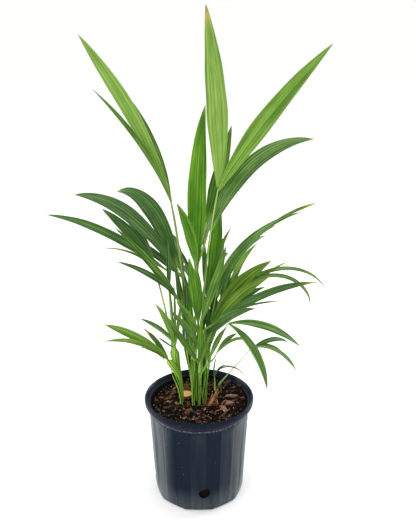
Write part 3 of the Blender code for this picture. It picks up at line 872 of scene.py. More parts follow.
def stemSkin(name, hexShade, hexBase, hexStreak, roughness):
    # Living leaf sheath: smooth and waxy, with fine streaks up it that catch the light
    material, tree, shader = newSurface(name, hexBase, roughness, {
        "IOR": 1.45, "Specular IOR Level": 0.18})
    # streaks 3 mm apart and 120 mm long, coarser than the real fibres so that they show
    streaks = grain(tree, attribute(tree, "rest", "Vector"), 1.0, 2, (330, 8, 330))
    ramp = addNode(tree, "ShaderNodeValToRGB", None, {"Fac": streaks})
    ramp.color_ramp.elements[0].position = 0.40
    ramp.color_ramp.elements[0].color = linearColor(hexShade)
    ramp.color_ramp.elements[1].position = 0.60
    ramp.color_ramp.elements[1].color = linearColor(hexStreak)
    ramp.color_ramp.elements.new(0.50).color = linearColor(hexBase)
    uneven = spread(tree, streaks, 0.36, 0.52, kind="LINEAR")
    # painted shade in the flutes' furrows and painted highlights on their crests
    ribbed = paintedPleatShading(tree, ramp.outputs["Color"], uneven,
                        (0.85, shift(hexShade, 0.40)), (0.75, shift(hexStreak, 1.15)))
    colorAndBump(tree, shader, dryMix(tree, ribbed, streaks), streaks, 0.35, 0.0005)
    return material


def dryMix(tree, living, fibres):
    # Living green that goes yellow and then brown where the tissue has dried
    ragged = reckon(tree, "MULTIPLY_ADD", fibres, 0.35, attribute(tree, "dry", "Fac"))
    yellow = blend(tree, spread(tree, ragged, 0.32, 0.58), living, "aaa549")
    return blend(tree, spread(tree, ragged, 0.70, 0.88), yellow, "8b6a38")


def bendUp(foot, top, leaving, shares):
    # A smooth way up from the foot to where a leaf stalk leaves the clump
    rise = (top[2] - foot[2]) * 0.45
    knots = [foot, foot + np.array([0, 0, rise]), top - leaving * rise, top]
    t = shares[:, None]
    return (knots[0] * (1 - t) ** 3 + knots[1] * 3 * t * (1 - t) ** 2
            + knots[2] * 3 * t * t * (1 - t) + knots[3] * t ** 3)


def flattened(low, high, shares):
    return 1 - (1 - shootLook["flatTop"]) * smoothStep(low, high, shares)


def buriedFoot(shoot, angle=0.0, reach=0.0):
    # Where a part of a shoot starts: aside from its middle, and a little way down in the mix
    x, y = shoot["foot"]
    return np.array([x * mm + reach * math.cos(angle), y * mm + reach * math.sin(angle),
                     shootLook["mixLevel"] - shootLook["buried"]])


def footOf(frond):
    # Where a leaf stalk starts: just clear of its shoot's top
    _, rise, _, _, radius = frond["stalk"]
    lift = 0.0003 + radius * mm * abs(math.cos(math.radians(rise)))
    return np.array([frond["at"][0] * mm, frond["at"][1] * mm, shoots[frond["shoot"]]["height"] + lift])


def sheathOf(name, shoot, number, top, leaving, tipRadius, skin, reach=1.0):
    # One leaf's sheath: a slim strip at the foot, widest three quarters up, then drawn in
    angle = 2.4 * number + chance.uniform(-0.3, 0.3)
    ring = shoot["footRadius"] * mm * shootLook["ring"]
    foot = buriedFoot(shoot, angle, ring)
    shares = np.linspace(0, 1, 41)
    centres = bendUp(foot, top, leaving, shares * reach)
    low = shoot["footRadius"] * mm * shootLook["slim"]
    tipRadius = shoot.get("mouth", tipRadius / mm) * mm
    wide = shoot["topRadius"] * mm * shoot.get("sheath", shootLook["sheath"])
    widest = shoot.get("widest", shootLook["widest"])
    radii = low + (wide - low) * np.clip(shares / widest, 0, 1) ** shootLook["opening"]
    drawnIn = smoothStep(widest + 0.04, 1.0, shares)
    radii = radii * (1 - drawnIn) + tipRadius * drawnIn
    flat = flattened(0.1, 0.6, shares)
    tube = copyOf(tubeMasters["stem"], name)
    turn = chance.uniform(0, 6.3)
    flutes = shootLook["fanFlutes" if "sheath" in shoot else "flutes"]

    def flute(_, place):
        return 1 + shootLook["fluteDepth"] * np.cos(flutes * place + turn)

    def ridges(place):
        # how far each point lies from a flute's crest, in turns
        return np.arccos(np.cos(flutes * place + turn)) / (2 * math.pi)

    dry = 0.30 * smoothStep(0.06, 0.0, shares)
    if reach < 1:
        dry = dry + 0.85 * smoothStep(0.82, 1.0, shares)
    sweepTube(tube, shares, centres, radii, flute, flat, dry, ridges)
    wear(tube, skin)
    return tube


def strandOf(name, shoot, index, top, leaving, skins):
    # A sheath's thin edge: a fine round strand up the outside of the bundle, pale or in shade
    angle = 2 * math.pi * (index + chance.uniform(0, 0.7)) / shootLook["strands"]
    around = np.array([math.cos(angle), math.sin(angle), 0])
    foot = buriedFoot(shoot, angle, shoot["footRadius"] * mm * 0.7)
    shares = np.linspace(0, 1, 21)
    end = top + around * shoot["topRadius"] * mm * 0.55
    centres = bendUp(foot, end, leaving, shares * chance.uniform(0.7, 1.0))
    strand = copyOf(tubeMasters["fine"], name)
    sweepTube(strand, shares, centres, chance.uniform(0.7, 1.15) * mm * (1 - 0.6 * shares ** 3))
    wear(strand, skins[("lime", "core", "young", "deep")[index % 4]])
    return strand


def buildShoots(skins):
    # Each shoot is a core, painted dark as the shade inside it, in a bundle of sheaths: one rises to
    # each leaf stalk, and most shoots have two short ones left from older leaves
    faces = 0
    for name, shoot in shoots.items():
        foot = buriedFoot(shoot)
        top = np.array([shoot["top"][0] * mm, shoot["top"][1] * mm, shoot["height"]])
        leaving = (top - foot) / np.linalg.norm(top - foot)
        shares = np.linspace(0, 0.85, 41)
        centres = bendUp(foot, top, leaving, shares)
        radii = (shoot["footRadius"] + (shoot["topRadius"] - shoot["footRadius"]) * shares) * mm
        radii = radii * shootLook["coreWidth"] * (1 - 0.75 * smoothStep(0.55, 0.85, shares))
        core = copyOf(tubeMasters["stalk"], name)
        flat = flattened(0.0, 0.7, shares)
        sweepTube(core, np.linspace(0, 1, 41), centres, radii, flat=flat)
        wear(core, skins["core"])
        parts = [core]
        number = 0
        for frond in fronds.values():
            if shoots[frond["shoot"]] is not shoot:
                continue
            bearing, rise, _, _, radius = frond["stalk"]
            slope = math.radians(rise)
            along = toBearing(bearing) * math.cos(slope) + np.array([0, 0, math.sin(slope)])
            skin = skins[shoot["tones"][number % len(shoot["tones"])]]
            parts.append(sheathOf(name, shoot, number, footOf(frond), along, radius * mm * 1.5, skin))
            number += 1
        for reach in (chance.uniform(0.62, 0.80), chance.uniform(0.34, 0.52))[:shoot.get("spent", 2)]:
            aside = np.append(chance.uniform(-0.6, 0.6, 2) * shoot["topRadius"] * mm, 0)
            skin = skins["old" if reach < 0.55 else shoot["tones"][-1]]
            parts.append(sheathOf(name, shoot, number, top + aside, leaving, 0.0006, skin, reach))
            number += 1
        if shoot["topRadius"] > 5:
            parts += [strandOf(name, shoot, index, top, leaving, skins)
                      for index in range(shootLook["strands"])]
        stem = handIn(name.replace("shoot_", "stem_"), parts, "stem_green", name)
        faces += len(stem.data.polygons)
    print("shoots ready:", faces, "faces")


# Fronds: a round stalk from a shoot's mouth and long pleated leaflets, each on its own arc

bladeLook = dict(
    thickness=0.55, fold=0.25, gather=0.55, pleatGap=6.8, pleat=0.55, ruffle=0.05,
    baseWidth=0.16, tipHalf=0.35, stalkBlade=1.5, taper=0.7, sink=15.0,
    twist=2.2, broadTwist=3.4, closedBase=0.4)


def frondRow(shoot, at, stalk, *leaflets):
    return dict(shoot="shoot_" + shoot, at=at, stalk=stalk, leaflets=list(leaflets))


# each frond's shoot, its foot on plan, and its stalk: bearing, rise, fall, length and radius.
# Then its leaflets: place on the stalk, bearing, rise, fall, how late it falls, length, width,
# belly (where it is widest) and roll. Lengths are in millimetres and turns in degrees.
fronds = {
    "frond_crown": frondRow("middle", (7, 6), (345, 89, 10, 359, 2.4),
        (1, 236, 94, 19, 0.7, 377, 43, 0.4, -146),
        (0.98, 334, 62, 15, 0.7, 393, 37, 0.42, 101),
        (0.72, 22, 70, 77, 1.3, 329, 35, 0.45, 62)),
    "frond_crown_back": frondRow("middle", (3, 11), (20, 99, 25, 274, 1.8),
        (1, 40, 70, -2, 0.7, 215, 31, 0.4, 47)),
    "frond_broad": frondRow("middle", (0, 5), (190, 89, 2, 168, 2.4),
        (1, 64, 88, 23, 3, 360, 41, 0.42, 26)),
    "frond_inner": frondRow("back_right", (19, 31), (300, 82, -12, 136, 1.8),
        (1, 66, 64, -21, 0.7, 255, 28, 0.45, 22),
        (0.95, 150, 82, -7, 0.7, 168, 13, 0.5, -58),
        (0.9, 25, 81, 31, 3, 198, 13, 0.5, 61)),
    "frond_tall_left": frondRow("left_tall", (-28, 5), (152, 87, 8, 288, 2.9),
        (1, 165, 74, 23, 0.7, 398, 30, 0.58, -67),
        (1, 132, 84, 49, 0.7, 264, 9, 0.4, -38),
        (0.97, 192, 76, 30, 0.7, 302, 11, 0.5, -90)),
    "frond_left_arch": frondRow("left_tall", (-35, 5), (126, 90, 19, 133, 2),
        (1, 142, 67, 97, 2.3, 261, 39, 0.5, -45),
        (0.95, 168, 56, 62, 1.9, 300, 32, 0.58, -65)),
    "frond_left_front": frondRow("left_tall", (-32, -2), (166, 75, -7, 64, 1.8),
        (1, 217, 59, 33, 0.7, 204, 13, 0.45, -93),
        (0.9, 205, 63, 15, 0.7, 247, 17, 0.33, -94)),
    "frond_left_reach": frondRow("left", (-55, 6), (175, 84, -4, 194, 2.3),
        (1, 188, 40, 31, 1.9, 295, 19, 0.5, -74),
        (0.75, 99, 99, 17, 0.9, 122, 11, 0.5, -6)),
    "frond_left_fan": frondRow("left", (-60, 6), (150, 81, 9, 202, 2.6),
        (1, 160, 65, 35, 0.7, 175, 24, 0.5, -58),
        (1, 135, 86, 78, 0.7, 150, 12, 0.5, -39),
        (0.93, 190, 69, 70, 0.7, 147, 5, 0.3, -74)),
    "frond_spear": frondRow("front", (-14, -11), (40, 83, -8, 214, 1.8),
        (1, 231, 86, 29, 0.7, 171, 24, 0.4, -133)),
    "frond_young": frondRow("front", (-8, -16), (45, 79, -9, 78, 1.8),
        (1, 243, 79, 9, 3, 176, 22, 0.5, -149),
        (0.9, 291, 77, -39, 1.7, 145, 14, 0.5, 159)),
    "frond_front_low": frondRow("front_low", (2, -29), (190, 93, 1, 77, 1.6),
        (0.1, 227, 56, -5, 3, 189, 14, 0.5, -113),
        (0.5, 224, 68, 20, 0.7, 162, 13, 0.5, -112),
        (0.98, 226, 64, 12, 0.7, 137, 14, 0.5, -115)),
    "frond_front_spear": frondRow("front_low", (5, -23), (225, 93, 8, 109, 1.8),
        (1, 317, 68, -7, 3, 217, 19, 0.45, 123)),
    "frond_right_long": frondRow("right", (24, 1), (18, 87, 11, 131, 1.8),
        (1, 21, 84, 77, 0.7, 277, 16, 0.3, 59),
        (0.97, 29, 73, 68, 0.7, 329, 7, 0.9, 54)),
    "frond_right_mid": frondRow("right", (18, 2), (60, 67, 4, 100, 1.8),
        (1, 20, 69, 57, 2, 197, 18, 0.4, 61),
        (0.45, 75, 58, -13, 1.3, 112, 14, 0.5, 13)),
    "frond_right_front": frondRow("right", (26, -4), (8, 69, 1, 100, 1.8),
        (1, 315, 77, 35, 1.5, 199, 14, 0.45, 123),
        (0.75, 313, 92, 25, 0.7, 132, 17, 0.5, 131)),
    "frond_right_broad": frondRow("right", (20, -7), (328, 77, 0, 41, 1.8),
        (1, 340, 73, 38, 1, 236, 31, 0.5, 92),
        (1, 330, 63, 30, 1.1, 217, 23, 0.55, 96),
        (0.95, 355, 71, 42, 0.7, 248, 11, 0.45, 76),
        (0.9, 4, 67, 129, 1.7, 350, 9, 0.6, 68),
        (0.9, 350, 67, 159, 2.1, 334, 9, 0.7, 77)),
    "frond_right_low": frondRow("right_low", (19, -27), (240, 85, 12, 90, 1.8),
        (1, 346, 42, 34, 1.8, 290, 17, 0.55, 75),
        (0.55, 330, 79, 59, 0.7, 176, 20, 0.5, 92),
        (0.2, 20, 90, 37, 0.7, 80, 11, 0.5, 62)),
    "frond_right_weeping": frondRow("right_low", (24, -21), (359, 77, 23, 106, 1.8),
        (1, 14, 9, 57, 0.7, 197, 18, 0.45, 70),
        (1, 334, -16, 68, 0.7, 183, 18, 0.45, 56),
        (0.1, 350, 73, 19, 1.5, 88, 12, 0.5, 88)),
    "frond_right_small": frondRow("right_low", (27, -26), (20, 36, -35, 25, 1.4),
        (1, 43, 44, 49, 1.4, 74, 11, 0.5, 42),
        (1, 28, 40, 137, 1.8, 117, 7, 0.5, 55)),
    "frond_right_thin": frondRow("back_right", (25, 32), (313, 88, 21, 94, 1.4),
        (1, 26, 38, 36, 2.1, 146, 17, 0.5, 54),
        (0.95, 14, 44, 52, 0.7, 172, 5, 0.5, 61)),
    "frond_far_right": frondRow("far_right", (55, 44), (357, 53, 1, 106, 1.4),
        (1, 340, 55, 122, 0.7, 142, 9, 0.6, 60),
        (1, 19, 28, 71, 1.8, 106, 12, 0.5, 57),
        (0.96, 3, 67, 132, 0.7, 110, 4, 0.5, 63)),
    "frond_wisp": frondRow("wisp", (37, 30), (40, 92, 0, 25, 1.2),
        (1, 29, 82, 115, 1, 55, 3, 0.5, 49),
        (1, 345, 76, 154, 1.1, 105, 3.2, 0.5, 66),
        (0.9, 60, 119, 67, 0.7, 57, 3, 0.5, 28)),
    "frond_low_left": frondRow("far_left", (-69, -15), (193, 56, 0, 12, 1.8),
        (1, 206, 52, 24, 0.8, 184, 19, 0.55, -80),
        (1, 216, 46, 40, 1.4, 183, 11, 0.5, -81),
        (0.8, 232, 41, 15, 2.3, 108, 5, 0.5, -95),
        (0.6, 165, 71, 32, 0.7, 91, 11, 0.5, -59)),
    "frond_low_left_back": frondRow("left", (-56, -1), (165, 88, 0, 20, 1.4),
        (0.9, 190, 66, 40, 0.7, 105, 11, 0.5, -75),
        (0.3, 205, 42, -2, 1, 57, 4, 0.5, -82),
        (1, 175, 74, 28, 2.6, 106, 13, 0.5, -74)),
    "frond_left_inner": frondRow("back", (-14, 31), (200, 77, 0, 32, 1.6),
        (1, 110, 84, 5, 1, 134, 16, 0.5, -18)),
    "frond_back_left": frondRow("back", (-14, 37), (125, 84, 14, 170, 1.8),
        (1, 128, 52, 50, 2.3, 268, 24, 0.5, -34),
        (0.95, 160, 46, 26, 0.7, 194, 18, 0.5, -59),
        (0.9, 103, 45, 60, 1.2, 200, 16, 0.5, -50)),
    "frond_back": frondRow("back", (-8, 37), (92, 84, 16, 220, 2),
        (1, 92, 50, 75, 1.2, 250, 32, 0.45, 42),
        (0.92, 72, 45, 70, 1.2, 220, 26, 0.45, 55),
        (0.7, 115, 35, 50, 1.2, 200, 12, 0.5, -55)),
    "frond_back_low": frondRow("back", (-7, 31), (71, 75, 20, 120, 1.6),
        (1, 70, 40, 60, 1.2, 200, 24, 0.45, 50),
        (0.85, 108, 38, 60, 1.2, 180, 20, 0.5, -48)),
    "frond_back_right": frondRow("back_right", (21, 37), (58, 79, 13, 169, 1.8),
        (1, 48, 61, 64, 0.7, 238, 18, 0.4, 43),
        (0.5, 26, 61, 48, 0.9, 172, 24, 0.5, 54),
        (0.9, 85, 45, 65, 1.2, 220, 24, 0.45, 45)),
}

# narrow young leaflets low on the stalks, which fill the middle of the clump
innerLeaflets = {
    "frond_tall_left": [
        (0.25, 150, 83, 0, 1, 190, 7, 0.5, -80)],
    "frond_left_arch": [
        (0.12, 150, 86, 18, 1.6, 129, 11, 0.5, -55),
        (0.05, 120, 120, 60, 1.1, 133, 10, 0.5, -30),
        (0.02, 180, 82, 0, 1, 118, 7, 0.5, -80)],
    "frond_left_reach": [
        (0.02, 180, 86, 0, 1, 175, 7, 0.5, -80),
        (0.02, 150, 92, 4, 1, 165, 6, 0.5, -80)],
    "frond_broad": [
        (0.98, 0, 73, 0, 1, 101, 5, 0.5, 80)],
    "frond_young": [
        (0.1, 140, 79, -14, 1.9, 161, 13, 0.5, -46),
        (0.1, 60, 43, -60, 0.8, 155, 12, 0.5, 28)],
    "frond_right_mid": [
        (0.15, 50, 42, -60, 0.7, 115, 14, 0.5, 36),
        (0.1, 100, 120, 69, 0.8, 110, 12, 0.5, -10)],
    "frond_front_low": [
        (0.05, 300, 67, 13, 2.4, 122, 9, 0.5, 139),
        (0.02, 110, 97, 4, 1, 125, 13, 0.45, -15)],
    "frond_right_low": [
        (0.05, 80, 119, 31, 1.1, 108, 10, 0.5, 13),
        (0.1, 15, 87, 33, 1, 130, 12, 0.5, 68)],
    "frond_low_left_back": [
        (0.1, 120, 106, 3, 1.7, 144, 8, 0.5, -33)],
    "frond_spear": [
        (0.02, 160, 74, -13, 0.7, 99, 13, 0.5, -65),
        (0.03, 100, 120, 31, 0.9, 107, 10, 0.5, -11)],
    "frond_front_spear": [
        (0.02, 60, 62, -14, 0.7, 105, 10, 0.5, 27)],
    "frond_right_broad": [
        (0.2, 20, 66, 31, 2.9, 145, 12, 0.5, 60)],
}

# which green each leaflet has: one for the frond, or one for each leaflet; sunny is painted light, grey
# a painted sheen, and deep and dark painted shade
frondTones = {
    "frond_crown": ("sunny", "fresh", "grey"), "frond_crown_back": ("mid",),
    "frond_broad": ("bright", "sunny"), "frond_inner": ("bright", "mid", "mid"),
    "frond_tall_left": ("sunny", "mid", "mid", "deep"),
    "frond_left_arch": ("deep", "moss", "deep", "deep", "mid"),
    "frond_left_front": ("deep", "mid"), "frond_left_reach": ("deep", "deep", "mid"),
    "frond_left_fan": ("deep", "deep", "mid"), "frond_spear": ("bright", "fresh"),
    "frond_young": ("bright", "bright", "bright", "deep"),
    "frond_front_low": ("mid", "grey", "mid", "mid", "bright"),
    "frond_front_spear": ("mid", "mid"), "frond_right_long": ("grey", "mid"),
    "frond_right_mid": ("grey", "dark"), "frond_right_front": ("fresh", "deep"),
    "frond_right_broad": ("olive", "olive", "olive", "grey", "grey", "deep"),
    "frond_right_low": ("deep", "deep", "dark", "mid"), "frond_right_weeping": ("grey", "grey", "mid"),
    "frond_right_small": ("grey",), "frond_right_thin": ("dark", "mid"),
    "frond_far_right": ("grey", "grey", "mid"), "frond_wisp": ("mid",),
    "frond_low_left": ("fresh", "fresh", "mid", "mid"), "frond_low_left_back": ("grey", "mid", "fresh"),
    "frond_left_inner": ("dark",), "frond_back_left": ("deep",), "frond_back": ("deep", "deep", "moss"),
    "frond_back_low": ("dark",), "frond_back_right": ("dark",)}

# young fronds whose leaflets leave the sheath at a good part of their full width
wideBases = {"frond_low_left": 0.62, "frond_low_left_back": 0.4, "frond_left_fan": 0.3}

# leaflets whose ends have dried: the share where yellow starts, and where brown is reached
driedEnds = {
    ("frond_crown", 0): (0.90, 0.99), ("frond_crown", 2): (0.97, 1.02),
    ("frond_broad", 0): (0.92, 1.20), ("frond_left_arch", 0): (0.93, 1.15),
    ("frond_left_fan", 2): (0.50, 1.0), ("frond_right_long", 1): (0.86, 1.06),
    ("frond_right_broad", 0): (0.95, 1.10), ("frond_right_low", 0): (0.90, 1.04),
    ("frond_right_thin", 1): (0.80, 1.05), ("frond_right_mid", 0): (0.90, 1.2),
    ("frond_low_left", 0): (0.94, 1.05), ("frond_low_left", 1): (0.93, 0.99),
    ("frond_low_left", 2): (0.78, 0.92), ("frond_low_left", 3): (0.78, 0.92),
    ("frond_far_right", 0): (0.86, 1.0), ("frond_wisp", 1): (0.55, 1.0)}

# each green: the dark and light of its veins. Sunny is a leaf green painted lit, grey the same with a
# painted sheen, and deep and dark are painted shade for leaflets behind others or low in the clump
leafColors = dict(
    sunny=("5c8129", "85a94b"), fresh=("4c751c", "789f3c"), bright=("366a0a", "66981f"),
    mid=("2b570c", "62892f"), moss=("2a4c1c", "5a7a46"), deep=("2a4e1c", "507636"),
    dark=("16400c", "386620"), grey=("38601c", "729652"), olive=("44640c", "6c902c"))


def leafSkin(name, hexLow, hexHigh, roughness):
    # Living palm leaflet: a waxy cuticle with soft gloss over fine parallel veins, a paler
    # midrib, and faint lighter and darker patches along the blade
    material, tree, shader = newSurface(name, hexLow, roughness, {
        "IOR": 1.45, "Specular IOR Level": 0.18})
    rest = attribute(tree, "rest", "Vector")
    across, along, _ = separated(tree, rest)
    # fine veins about 2.5 mm apart, and stripes about 7 mm wide, both coarser than life so
    # that they show
    veins, stripes, patches = [grain(tree, rest, 1.0, 2, (crossing, lengthwise, 1))
                               for crossing, lengthwise in ((420, 5), (150, 1.6), (45, 14))]
    lined = blendLevels(tree, 0.45, veins, stripes)
    contrast = spread(tree, blendLevels(tree, 0.30, lined, patches), 0.43, 0.57, kind="LINEAR")
    uneven = spread(tree, patches, 0.40, 0.56, kind="LINEAR")
    # painted shade in the pleats' furrows and painted highlights on their crests
    pleated = paintedPleatShading(tree, blend(tree, contrast, hexLow, hexHigh), uneven,
                         (0.30, shift(hexLow, 0.58)), (0.20, shift(hexHigh, 1.18)))
    ribMask = spread(tree, reckon(tree, "ABSOLUTE", across), 0.0007, 0.0003, 0.12)
    ribbed = blend(tree, ribMask, pleated, "a9c46e")
    # a leaflet is paler where it is gathered at the stalk
    based = blend(tree, spread(tree, along, 0.034, 0.004, 0.55), ribbed, "7aa83a")
    colorAndBump(tree, shader, dryMix(tree, based, veins), lined, 0.5, 0.0008)
    return material


def bladeHalf(share, width, belly, base):
    # Drawn in at the stalk, widest at the belly, and out to a fine tip
    opening = base + (1 - base) * np.sin(np.clip(share / belly, 0, 1) * math.pi / 2)
    closing = np.clip(np.cos((share - belly) / (1 - belly) * math.pi / 2), 0, 1) ** 0.8
    part = np.where(share < belly, opening, closing)
    return np.maximum(width / 2 * part, bladeLook["tipHalf"] * mm)


def buildLeaflet(name, start, leaflet, skins, dried):
    _, bearing, rise, fall, late, length, width, belly, roll = leaflet
    kind = "broad" if width >= 22 else "slim" if width >= 9 else "wisp"
    blade = copyOf(bladeMasters[kind], name)
    places = readPlaces(blade.data)
    across, share = -places[:, 0], (places[:, 1] + 1) / 2
    point, _, sideways, upper = arcAt(start, bearing, rise, fall, length * mm, share, late)
    twist = chance.uniform(-9, 9) * bladeLook["broadTwist" if kind == "broad" else "twist"]
    turn = np.radians(roll + twist * (share - 0.4))[:, None]
    side = sideways * np.cos(turn) + upper * np.sin(turn)
    normal = upper * np.cos(turn) - sideways * np.sin(turn)
    half = bladeHalf(share, width * mm, belly, wideBases.get(name, bladeLook["baseWidth"]))
    phases = chance.uniform(0, 6.3, 4)
    waves = 2 + chance.uniform(0, 2)
    edge = np.where(across > 0, phases[0], phases[1])
    half = half * (1 + 0.025 * np.sin(6.3 * waves * share + edge))
    # the blade folds down from its rib, and gathers to a gutter at the stalk
    gather = bladeLook["gather"] * (bladeLook["closedBase"] if name in wideBases else 1)
    fold = bladeLook["fold"] + gather * (1 - smoothStep(0, 0.16, share))
    lift = -np.abs(across) * half * fold
    # pleats run the blade's whole length, so they lie closer where it is narrow
    pleats = max(1, round(width / 2 / bladeLook["pleatGap"]))
    fade = smoothStep(0, 0.08, share) * (1 - smoothStep(0.8, 1.0, share))
    lift = lift + bladeLook["pleat"] * mm * fade * (half / (width * mm / 2)) * np.cos(
        2 * math.pi * pleats * np.abs(across))
    ruffle = np.sin(6.3 * (waves + 1.3) * share + np.where(across > 0, phases[2], phases[3]))
    lift = lift + half * bladeLook["ruffle"] * across ** 2 * ruffle * smoothStep(0.1, 0.4, share)
    writePlaces(blade.data, point + side * (across * half)[:, None] + normal * lift[:, None])

    # the tip dries first, and runs further back along the edges
    yellow, brown = dried
    worn = share + 0.05 * smoothStep(0.6, 1.0, np.abs(across)) * smoothStep(0.5, 0.95, share)
    worn = worn + 0.02 * np.sin(across * 9 + phases[0])
    keepRest(blade.data, np.column_stack([
        across * width * mm / 2, share * length * mm, np.full(len(share), chance.uniform(0, 40))]),
        np.clip(0.15 + 0.6 * (worn - yellow) / (brown - yellow), 0, 1), pleats * across)
    wear(blade, *skins)
    applyModifier(blade, "SOLIDIFY", thickness=bladeLook["thickness"] * mm, offset=0,
                  material_offset=1)
    return blade


def buildFronds():
    deselectAll()
    skins = {}
    for tone, (low, high) in leafColors.items():
        skins[tone] = [leafSkin("palm_leaflet_" + tone, low, high, 0.42),
                       leafSkin("palm_leaflet_underside_" + tone, *paler(low, high), 0.58)]
    stalkSkins = {
        "green": stemSkin("palm_leaf_stalk_waxy", "3c611c", "5e8632", "8eaa54", 0.38),
        "olive": stemSkin("palm_leaf_stalk_ageing", "2a4210", "4a6a20", "7c9040", 0.45)}
    faces = 0
    for name, frond in fronds.items():
        bearing, rise, fall, length, radius = frond["stalk"]
        foot = footOf(frond)
        shares = np.linspace(0, 1, 41)
        centres, along, _, _ = arcAt(foot, bearing, rise, fall, length * mm, shares)
        # the foot clasps the shoot: it runs on down into the sheath's mouth, and widens
        sunk = np.linspace(-bladeLook["sink"] * mm, -0.001, 6)
        lower = foot + np.outer(sunk, along[0])
        centres = np.vstack([lower, centres])
        reach = np.concatenate([sunk, shares * length * mm])
        radii = radius * mm * (1 - (1 - bladeLook["taper"]) * np.clip(reach / (length * mm), 0, 1))
        radii = radii * (1 + 0.75 * (1 - smoothStep(-0.012, 0.028, reach)))
        radii[-1] *= 0.5
        stalk = copyOf(tubeMasters["stalk"], name)
        ring = (reach - reach[0]) / (reach[-1] - reach[0])
        sweepTube(stalk, ring, centres, radii)
        wear(stalk, stalkSkins["olive" if name == "frond_tall_left" else "green"])
        parts = [stalk]
        tones = frondTones[name]
        for index, leaflet in enumerate(frond["leaflets"] + innerLeaflets.get(name, [])):
            dried = driedEnds.get((name, index), (chance.uniform(0.975, 0.995), 1.09))
            start, direction, _, _ = arcAt(foot, bearing, rise, fall, length * mm, leaflet[0])
            parts.append(buildLeaflet(
                name, start[0] - direction[0] * bladeLook["stalkBlade"] * mm, leaflet,
                skins[tones[min(index, len(tones) - 1)]], dried))
        piece = handIn(name.replace("frond_", "leaves_"), parts, "leaf_green", name)
        faces += len(piece.data.polygons)
    print("fronds ready:", faces, "faces")


def paler(*hexColors):
    # The same green, a little paler and duller, as a leaflet is underneath
    made = []
    for hexColor in hexColors:
        levels = levelsOf(hexColor)
        grey = sum(levels) / 3
        made.append(hexOf([level * 0.88 + grey * 0.12 + 6 for level in levels]))
    return made


# Cut stub and dry stalk: what is left of a stem taken out, and a dead stalk beside the clump

stub = dict(
    place=(-31, 28), radius=13.0, height=7.5, sides=40, buried=0.004, grainStep=0.0017,
    lip=((0.0012, 0.0005), (0.0009, -0.0004)), grainRings=5, spread=1.06, roughness=0.0007,
    askew=0.05, sharpOver=35)
dryStalk = dict(foot=(22, -15), top=(44, 8), height=0.262)


def buildStub():
    deselectAll()
    x, y = stub["place"][0] * mm, stub["place"][1] * mm
    bottom = shootLook["mixLevel"] - stub["buried"]
    top = shootLook["mixLevel"] + stub["height"] * mm
    bpy.ops.mesh.primitive_cylinder_add(
        vertices=stub["sides"], radius=stub["radius"] * mm, depth=top - bottom,
        location=(x, y, (top + bottom) / 2), end_fill_type="NGON")
    piece = bpy.context.object
    piece.name = "cut_stem_stub"
    applyPlace()
    editMode()
    bpy.ops.mesh.select_mode(type="FACE")
    bpy.ops.mesh.select_all(action="DESELECT")
    objectMode()
    for polygon in piece.data.polygons:
        polygon.select = polygon.normal.z > 0.9
    editMode()
    for thickness, depth in stub["lip"] + ((stub["grainStep"], 0),) * stub["grainRings"]:
        bpy.ops.mesh.inset(thickness=thickness, depth=depth)
    objectMode()
    places = readPlaces(piece.data)
    for place in places:
        place[0] = x + (place[0] - x) * stub["spread"]
        if place[2] > top - 0.002:
            place[2] += stub["roughness"] * noise.noise(Vector((place[0] * 260, place[1] * 260, 1)))
            place[2] += stub["askew"] * (place[1] - y)          # sawn a little askew
    writePlaces(piece.data, places)
    face = mixSurface("sawn_palm_stem", "b48a50", "d8b47a", 700, 0.0003)
    side = mixSurface("dry_palm_sheath", "5b3c1f", "94683a", 300, 0.0006)
    wear(piece, side, face)
    for polygon in piece.data.polygons:
        polygon.material_index = 1 if polygon.normal.z > 0.5 else 0
    smoothBelow(piece, stub["sharpOver"])
    dress(piece, "cut_stem", "cut_stub")
    buildDrySheaths(side)
    print("stub and sheaths ready")


# foot on plan, height, radius, how far round it goes, the way it faces, and its lean
drySheaths = (
    ((-33, 40), 26, 9, 100, 80, 0.05), ((-27, 39), 16, 8, 80, 60, 0.1),
    ((8, 22), 34, 8, 90, 250, 0.02), ((-14, 18), 22, 8, 80, 280, 0.05),
    ((30, 4), 22, 6, 110, 300, 0.25), ((-44, 2), 14, 7, 90, 260, 0.05),
    ((14, -2), 18, 8, 100, 270, 0.02), ((-24, -4), 15, 8, 90, 260, 0.03))


def buildDrySheaths(skin):
    # Curled dry sheaths, at the back of the stub and round the clump's foot
    flaps = []
    for (fx, fy), height, radius, curl, turn, lean in drySheaths:
        blade = copyOf(bladeMasters["slim"], "flap")
        places = readPlaces(blade.data)
        across, share = places[:, 0], (places[:, 1] + 1) / 2
        angle = np.radians(turn + curl / 2 * across * (1 - 0.65 * share))
        reach = radius * mm * (1 + 0.25 * share)
        base = mixHeight(fx * mm, fy * mm) - 0.004
        rough = 1 + 0.12 * np.sin(across * 9 + fx)
        writePlaces(blade.data, np.column_stack([
            fx * mm + reach * np.cos(angle) + lean * height * mm * share,
            fy * mm + reach * np.sin(angle),
            base + height * mm * share * rough]))
        wear(blade, skin)
        applyModifier(blade, "SOLIDIFY", thickness=0.0008, offset=0)
        flaps.append(blade)
    handIn("dry_sheaths", flaps, "dry_stem", "cut_stub")


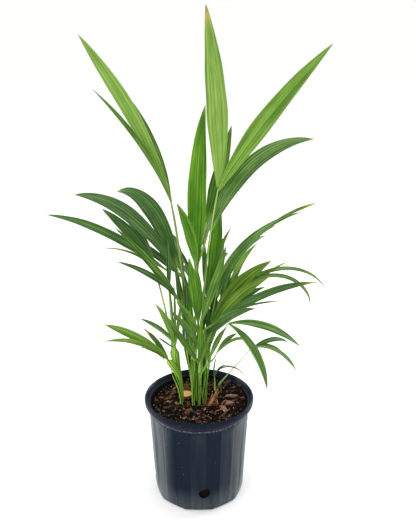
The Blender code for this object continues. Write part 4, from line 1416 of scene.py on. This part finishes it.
def buildDryStalk():
    foot, top = np.array(dryStalk["foot"]) * mm, np.array(dryStalk["top"]) * mm
    skin = mixSurface("dead_palm_stalk", "744a26", "ba8c54", 260, 0.0005)
    low = shootLook["mixLevel"]
    parts = []
    # the stalk has split into three strips that part towards the top
    for start, end, reach, thick in (
            ((0, 0), (0, 0), 1.0, 2.7), ((2, 2), (4.5, -3), 0.86, 1.9),
            ((-2, 1), (-4.5, 2), 0.72, 1.7)):
        shares = np.linspace(0, 1, 25)
        plan = foot + np.array(start) * mm + np.outer(shares * reach, top - foot)
        plan = plan + np.outer(shares ** 2, np.array(end) * mm)
        height = low - 0.004 + (dryStalk["height"] - low + 0.004) * reach * shares
        centres = np.column_stack([plan, height])
        radii = thick * mm * (1 - 0.45 * shares)
        radii[-1] *= 0.3
        strip = copyOf(tubeMasters["stalk"], "strip")
        sweepTube(strip, shares, centres, radii,
                  lambda s, angle: 1 + 0.28 * np.cos(2 * angle) + 0.08 * np.cos(5 * angle + 3 * s))
        wear(strip, skin)
        parts.append(strip)
    handIn("dry_split_stalk", parts, "dry_stem", "dry_stalk")
    print("dry stalk ready")


buildStudio()
buildPot()
for name, columns, rows in (("stem", 45, 60), ("stalk", 12, 46), ("fine", 7, 20)):
    buildTubeMaster(name, columns, rows)
for name, columns, rows in (("broad", 24, 48), ("slim", 12, 36), ("wisp", 4, 30)):
    buildBladeMaster(name, columns, rows)
fillPot()
strewMix()
buildShoots(dict(
    lime=stemSkin("young_leaf_sheath_waxy_lime", "5a8a1e", "7aa92e", "a6cb50", 0.40),
    young=stemSkin("young_leaf_sheath_waxy", "3a6a14", "568c22", "80b040", 0.40),
    sheath=stemSkin("leaf_sheath_waxy", "275410", "3f721c", "639434", 0.42),
    deep=stemSkin("leaf_sheath_waxy_in_shade", "173a0c", "275412", "42731f", 0.45),
    # the core is painted nearly black: painted shade inside the bundle of sheaths
    core=stemSkin("shoot_core_waxy_painted_shade", "0d2207", "16340b", "2a5014", 0.50),
    old=stemSkin("old_leaf_sheath_drying", "48602a", "66763a", "8e8a50", 0.55)))
buildFronds()
buildStub()
buildDryStalk()
dropMasters()
